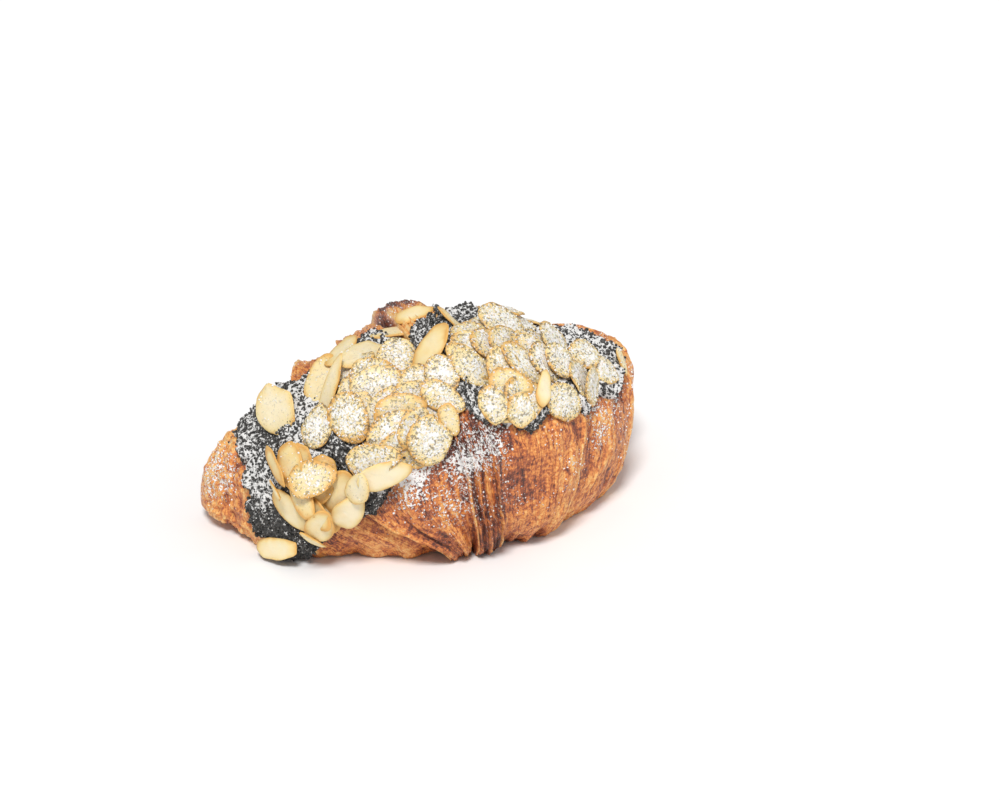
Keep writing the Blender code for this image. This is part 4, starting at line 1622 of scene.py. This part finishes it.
            # Lower edges and undersides get more toast: partly real toast, partly painted shade as a dark line
            # along each flake's edge
            toasts_and_shade.append(flake.toast + self.underside_toast_and_shade * (1.0 - facing))
            frosted = self.frosted * float(ramp(flake.station, *self.frosted_span)) * (flake.sugar > 0.5)
            sugars.append((flake.sugar + frosted) * facing)
        first = (count + 2) * np.arange(len(blocks))[:, None, None]
        squares, triangles = (quads + first).reshape(-1, 4), (fans + first).reshape(-1, 3)
        points = np.concatenate(blocks) + self.shift
        values = {"rim": np.concatenate(rims), "toast": np.concatenate(toasts_and_shade), "sugar": np.concatenate(sugars)}
        rising = Skin.of(points, squares, values["sugar"])
        self.skin = Skin(rising.corners, np.clip(rising.weight - 0.1, 0.0, 1.0))
        return Pieces.build("almond_flakes", points, [squares, triangles], values, material, "sesame_topping")


class Spread(Enum):
    """How grains lie on a surface: height of their middles, in grain sizes."""

    SUNK = 0.1
    RESTING = 0.45


@dataclass
class Grains:
    """Small lumps scattered over surfaces, each an icosahedron stretched and turned at random."""

    name: str
    smallest: float
    largest: float
    seed: int
    spread: Spread
    steepest: float
    count: int = 9800
    spare: float = 1.6
    steep_blur: float = 0.35
    mostly_small: float = 2.2
    stretch: tuple = (0.65, 0.7)
    floor_gap: float = 0.0002

    @staticmethod
    def solid() -> tuple[Array, Array]:
        """Unit icosahedron: its corners from the golden ratio, its faces from the corners that are near.

        Returns:
            Vertices and faces.
        """
        golden = (1.0 + math.sqrt(5.0)) / 2.0
        points = [(a, b * golden, 0.0) for a in (-1, 1) for b in (-1, 1)]
        points = np.array(points + [(0.0, x, y) for x, y, _ in points] + [(y, 0.0, x) for x, y, _ in points])
        points = points / np.linalg.norm(points[0])
        gaps = np.linalg.norm(points[:, None] - points[None], axis=-1)
        near = (gaps < 1.2) & (gaps > 0.1)
        faces = np.array([(i, j, k) for i in range(12) for j in range(i + 1, 12) for k in range(j + 1, 12)
                          if near[i, j] and near[j, k] and near[i, k]])
        corner = points[faces]
        cross = np.cross(corner[:, 1] - corner[:, 0], corner[:, 2] - corner[:, 0])
        outward = np.einsum("ij,ij->i", cross, corner.mean(axis=1)) > 0.0
        return points, np.where(outward[:, None], faces, faces[:, ::-1])

    def build(self, skins: Sequence[tuple[Skin, float]], material: bpy.types.Material) -> bpy.types.Object:
        """Scatter the grains over the parts of the surfaces that face up enough.

        Args:
            skins: Surfaces, each with its share of the grains.
            material: Their finish.

        Returns:
            The piece.
        """
        rng = np.random.default_rng(self.seed)
        places, normals = [], []
        for skin, share in skins:
            place, normal = skin.scatter(int(self.count * share * self.spare), rng)
            kept = normal[:, 2] > self.steepest - self.steep_blur * rng.random(len(normal))
            wanted = int(self.count * share)
            places.append(place[kept][:wanted])
            normals.append(normal[kept][:wanted])
        place, normal = np.concatenate(places), np.concatenate(normals)
        shape, faces = self.solid()
        total = len(place)
        size = self.smallest + (self.largest - self.smallest) * rng.random(total) ** self.mostly_small
        stretch = size[:, None] * (self.stretch[0] + self.stretch[1] * rng.random((total, 3)))
        turn = np.linalg.qr(rng.normal(size=(total, 3, 3)))[0]
        lumps = np.einsum("nij,nvj->nvi", turn, shape[None] * stretch[:, None])
        centres = place + normal * (self.spread.value * size)[:, None]
        points = (centres[:, None] + lumps).reshape(-1, 3)
        points[:, 2] = np.maximum(points[:, 2], self.floor_gap)
        mirrored = np.linalg.det(turn) < 0.0
        every = np.where(mirrored[:, None, None], faces[None, :, ::-1], faces[None])
        every = (every + len(shape) * np.arange(total)[:, None, None]).reshape(-1, 3)
        return Pieces.build(self.name, points, [every], {}, material, "sesame_topping")


@dataclass(frozen=True)
class Lamp:
    """A far, broad light that shines from a place towards the croissant."""

    name: str
    place: tuple
    spread: float
    power: float

    def hang(self) -> None:
        """Add the light, turned towards the middle."""
        data = bpy.data.lights.new(self.name, "SUN")
        data.angle = math.radians(self.spread)
        data.energy = self.power
        lamp = bpy.data.objects.new(self.name, data)
        lamp.location = self.place
        lamp.rotation_euler = (-Vector(self.place)).to_track_quat("-Z", "Y").to_euler()
        bpy.context.scene.collection.objects.link(lamp)


@dataclass(frozen=True)
class Studio:
    """Pale floor, an even sky, two lamps, and the camera at the photograph's viewing angle."""

    shift: Array
    elevation: float = 23.3
    turned: float = 33.5
    aim: tuple = (0.0117, 0.0790)
    distance: float = 1.030
    focal_pixels: float = 3038.5
    picture_width: float = 1000.0
    sensor: float = 36.0
    floor_size: float = 6.0
    floor_drop: float = 0.0002
    floor_mottle: float = 30.0
    floor_greys: tuple = ((0.90, 0.90, 0.90), (0.93, 0.93, 0.93))
    sky: float = 0.40
    lamps: tuple = (Lamp("key", (-0.50, -0.62, 1.10), 16.0, 2.75), Lamp("fill", (0.80, -0.95, 0.60), 60.0, 0.45))

    def floor(self) -> None:
        """Lay the floor just under the base."""
        tree = Tree("studio_floor")
        mottle = tree.noise(tree.place(), self.floor_mottle)
        material = tree.finish(Base_Color=tree.mix(mottle, *self.floor_greys), Roughness=0.8)
        half, low = 0.5 * self.floor_size, -self.floor_drop
        mesh = bpy.data.meshes.new("studio_floor")
        mesh.from_pydata([(-half, -half, low), (half, -half, low), (half, half, low), (-half, half, low)],
                         [], [(0, 1, 2, 3)])
        mesh.materials.append(material)
        piece = bpy.data.objects.new("studio_floor", mesh)
        bpy.context.scene.collection.objects.link(piece)

    def light(self) -> None:
        """Light the scene: an even pale sky, a large key and a weak fill."""
        world = bpy.data.worlds.new("studio")
        world.use_nodes = True
        world.node_tree.nodes["Background"].inputs["Color"].default_value = (1.0, 1.0, 1.0, 1.0)
        world.node_tree.nodes["Background"].inputs["Strength"].default_value = self.sky
        bpy.context.scene.world = world
        for lamp in self.lamps:
            lamp.hang()
        bpy.context.scene.view_settings.view_transform = "Standard"

    def camera(self) -> None:
        """Place the camera: turned about the vertical, raised, and aimed a little off the croissant."""
        turn = Matrix.Rotation(math.radians(-self.turned), 3, "Z")
        raised = math.radians(self.elevation)
        aim = Vector((*self.aim, 0.0))
        eye = aim + self.distance * Vector((0.0, -math.cos(raised), math.sin(raised)))
        move = Vector(self.shift)
        eye, aim = turn @ eye + move, turn @ aim + move
        data = bpy.data.cameras.new("camera")
        data.sensor_width = self.sensor
        data.lens = self.sensor * self.focal_pixels / self.picture_width
        camera = bpy.data.objects.new("camera", data)
        camera.location = eye
        camera.rotation_euler = (aim - eye).to_track_quat("-Z", "Y").to_euler()
        bpy.context.scene.collection.objects.link(camera)
        bpy.context.scene.camera = camera


def placing(roll: Roll) -> Array:
    """Step from the roll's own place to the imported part's: between the middles of their boxes.

    Args:
        roll: The roll.

    Returns:
        Metres along X, Y and Z.
    """
    wrap, angle = np.meshgrid(np.linspace(0.0, roll.wraps, 400), np.arange(0.0, 360.0, 2.0), indexing="ij")
    at = roll.on_wraps(wrap, angle)
    points = at.raised(at.relief).reshape(-1, 3)
    low, high = (np.array(corner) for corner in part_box("pastry"))
    step = 0.5 * (low + high) - 0.5 * (points.min(axis=0) + points.max(axis=0))
    return np.array([step[0], step[1], 0.0])


def main() -> None:
    """Build every piece in order, then the studio."""
    roll = Roll()
    shift = placing(roll)
    LOG.info("placed by %s mm", np.round(shift * 1e3, 2))
    form = LayerForm(roll)
    crust = Crust(roll, shift)
    crust.build(CrustFinish().material())
    cream = SesameCream(form, shift)
    cream.build(CreamFinish().material())
    almonds = AlmondFlakes(form, shift)
    almonds.build(AlmondFinish().material())
    crumbs = Grains("sesame_crumbs", 0.00020, 0.00062, 41, Spread.RESTING, -0.8)
    crumb_finish = GrainFinish("sesame_crumb", (0.018, 0.017, 0.016), (0.09, 0.085, 0.08), 0.8)
    even = Skin(cream.skin.corners, (cream.skin.weight > 0.0).astype(float))
    crumbs.build([(even, 1.0)], crumb_finish.material())
    sugar = Grains("icing_sugar", 0.00011, 0.00036, 43, Spread.SUNK, 0.05)
    sugar_finish = GrainFinish("icing_sugar", (0.78, 0.77, 0.75), SUGAR_WHITE, 0.9)
    sugar.build([(cream.skin, 0.45), (almonds.skin, 0.35), (crust.skin, 0.20)], sugar_finish.material())
    studio = Studio(shift)
    studio.floor()
    studio.light()
    studio.camera()


if __name__ == "__main__":
    logging.basicConfig(level=logging.INFO, format="%(message)s")
    main()
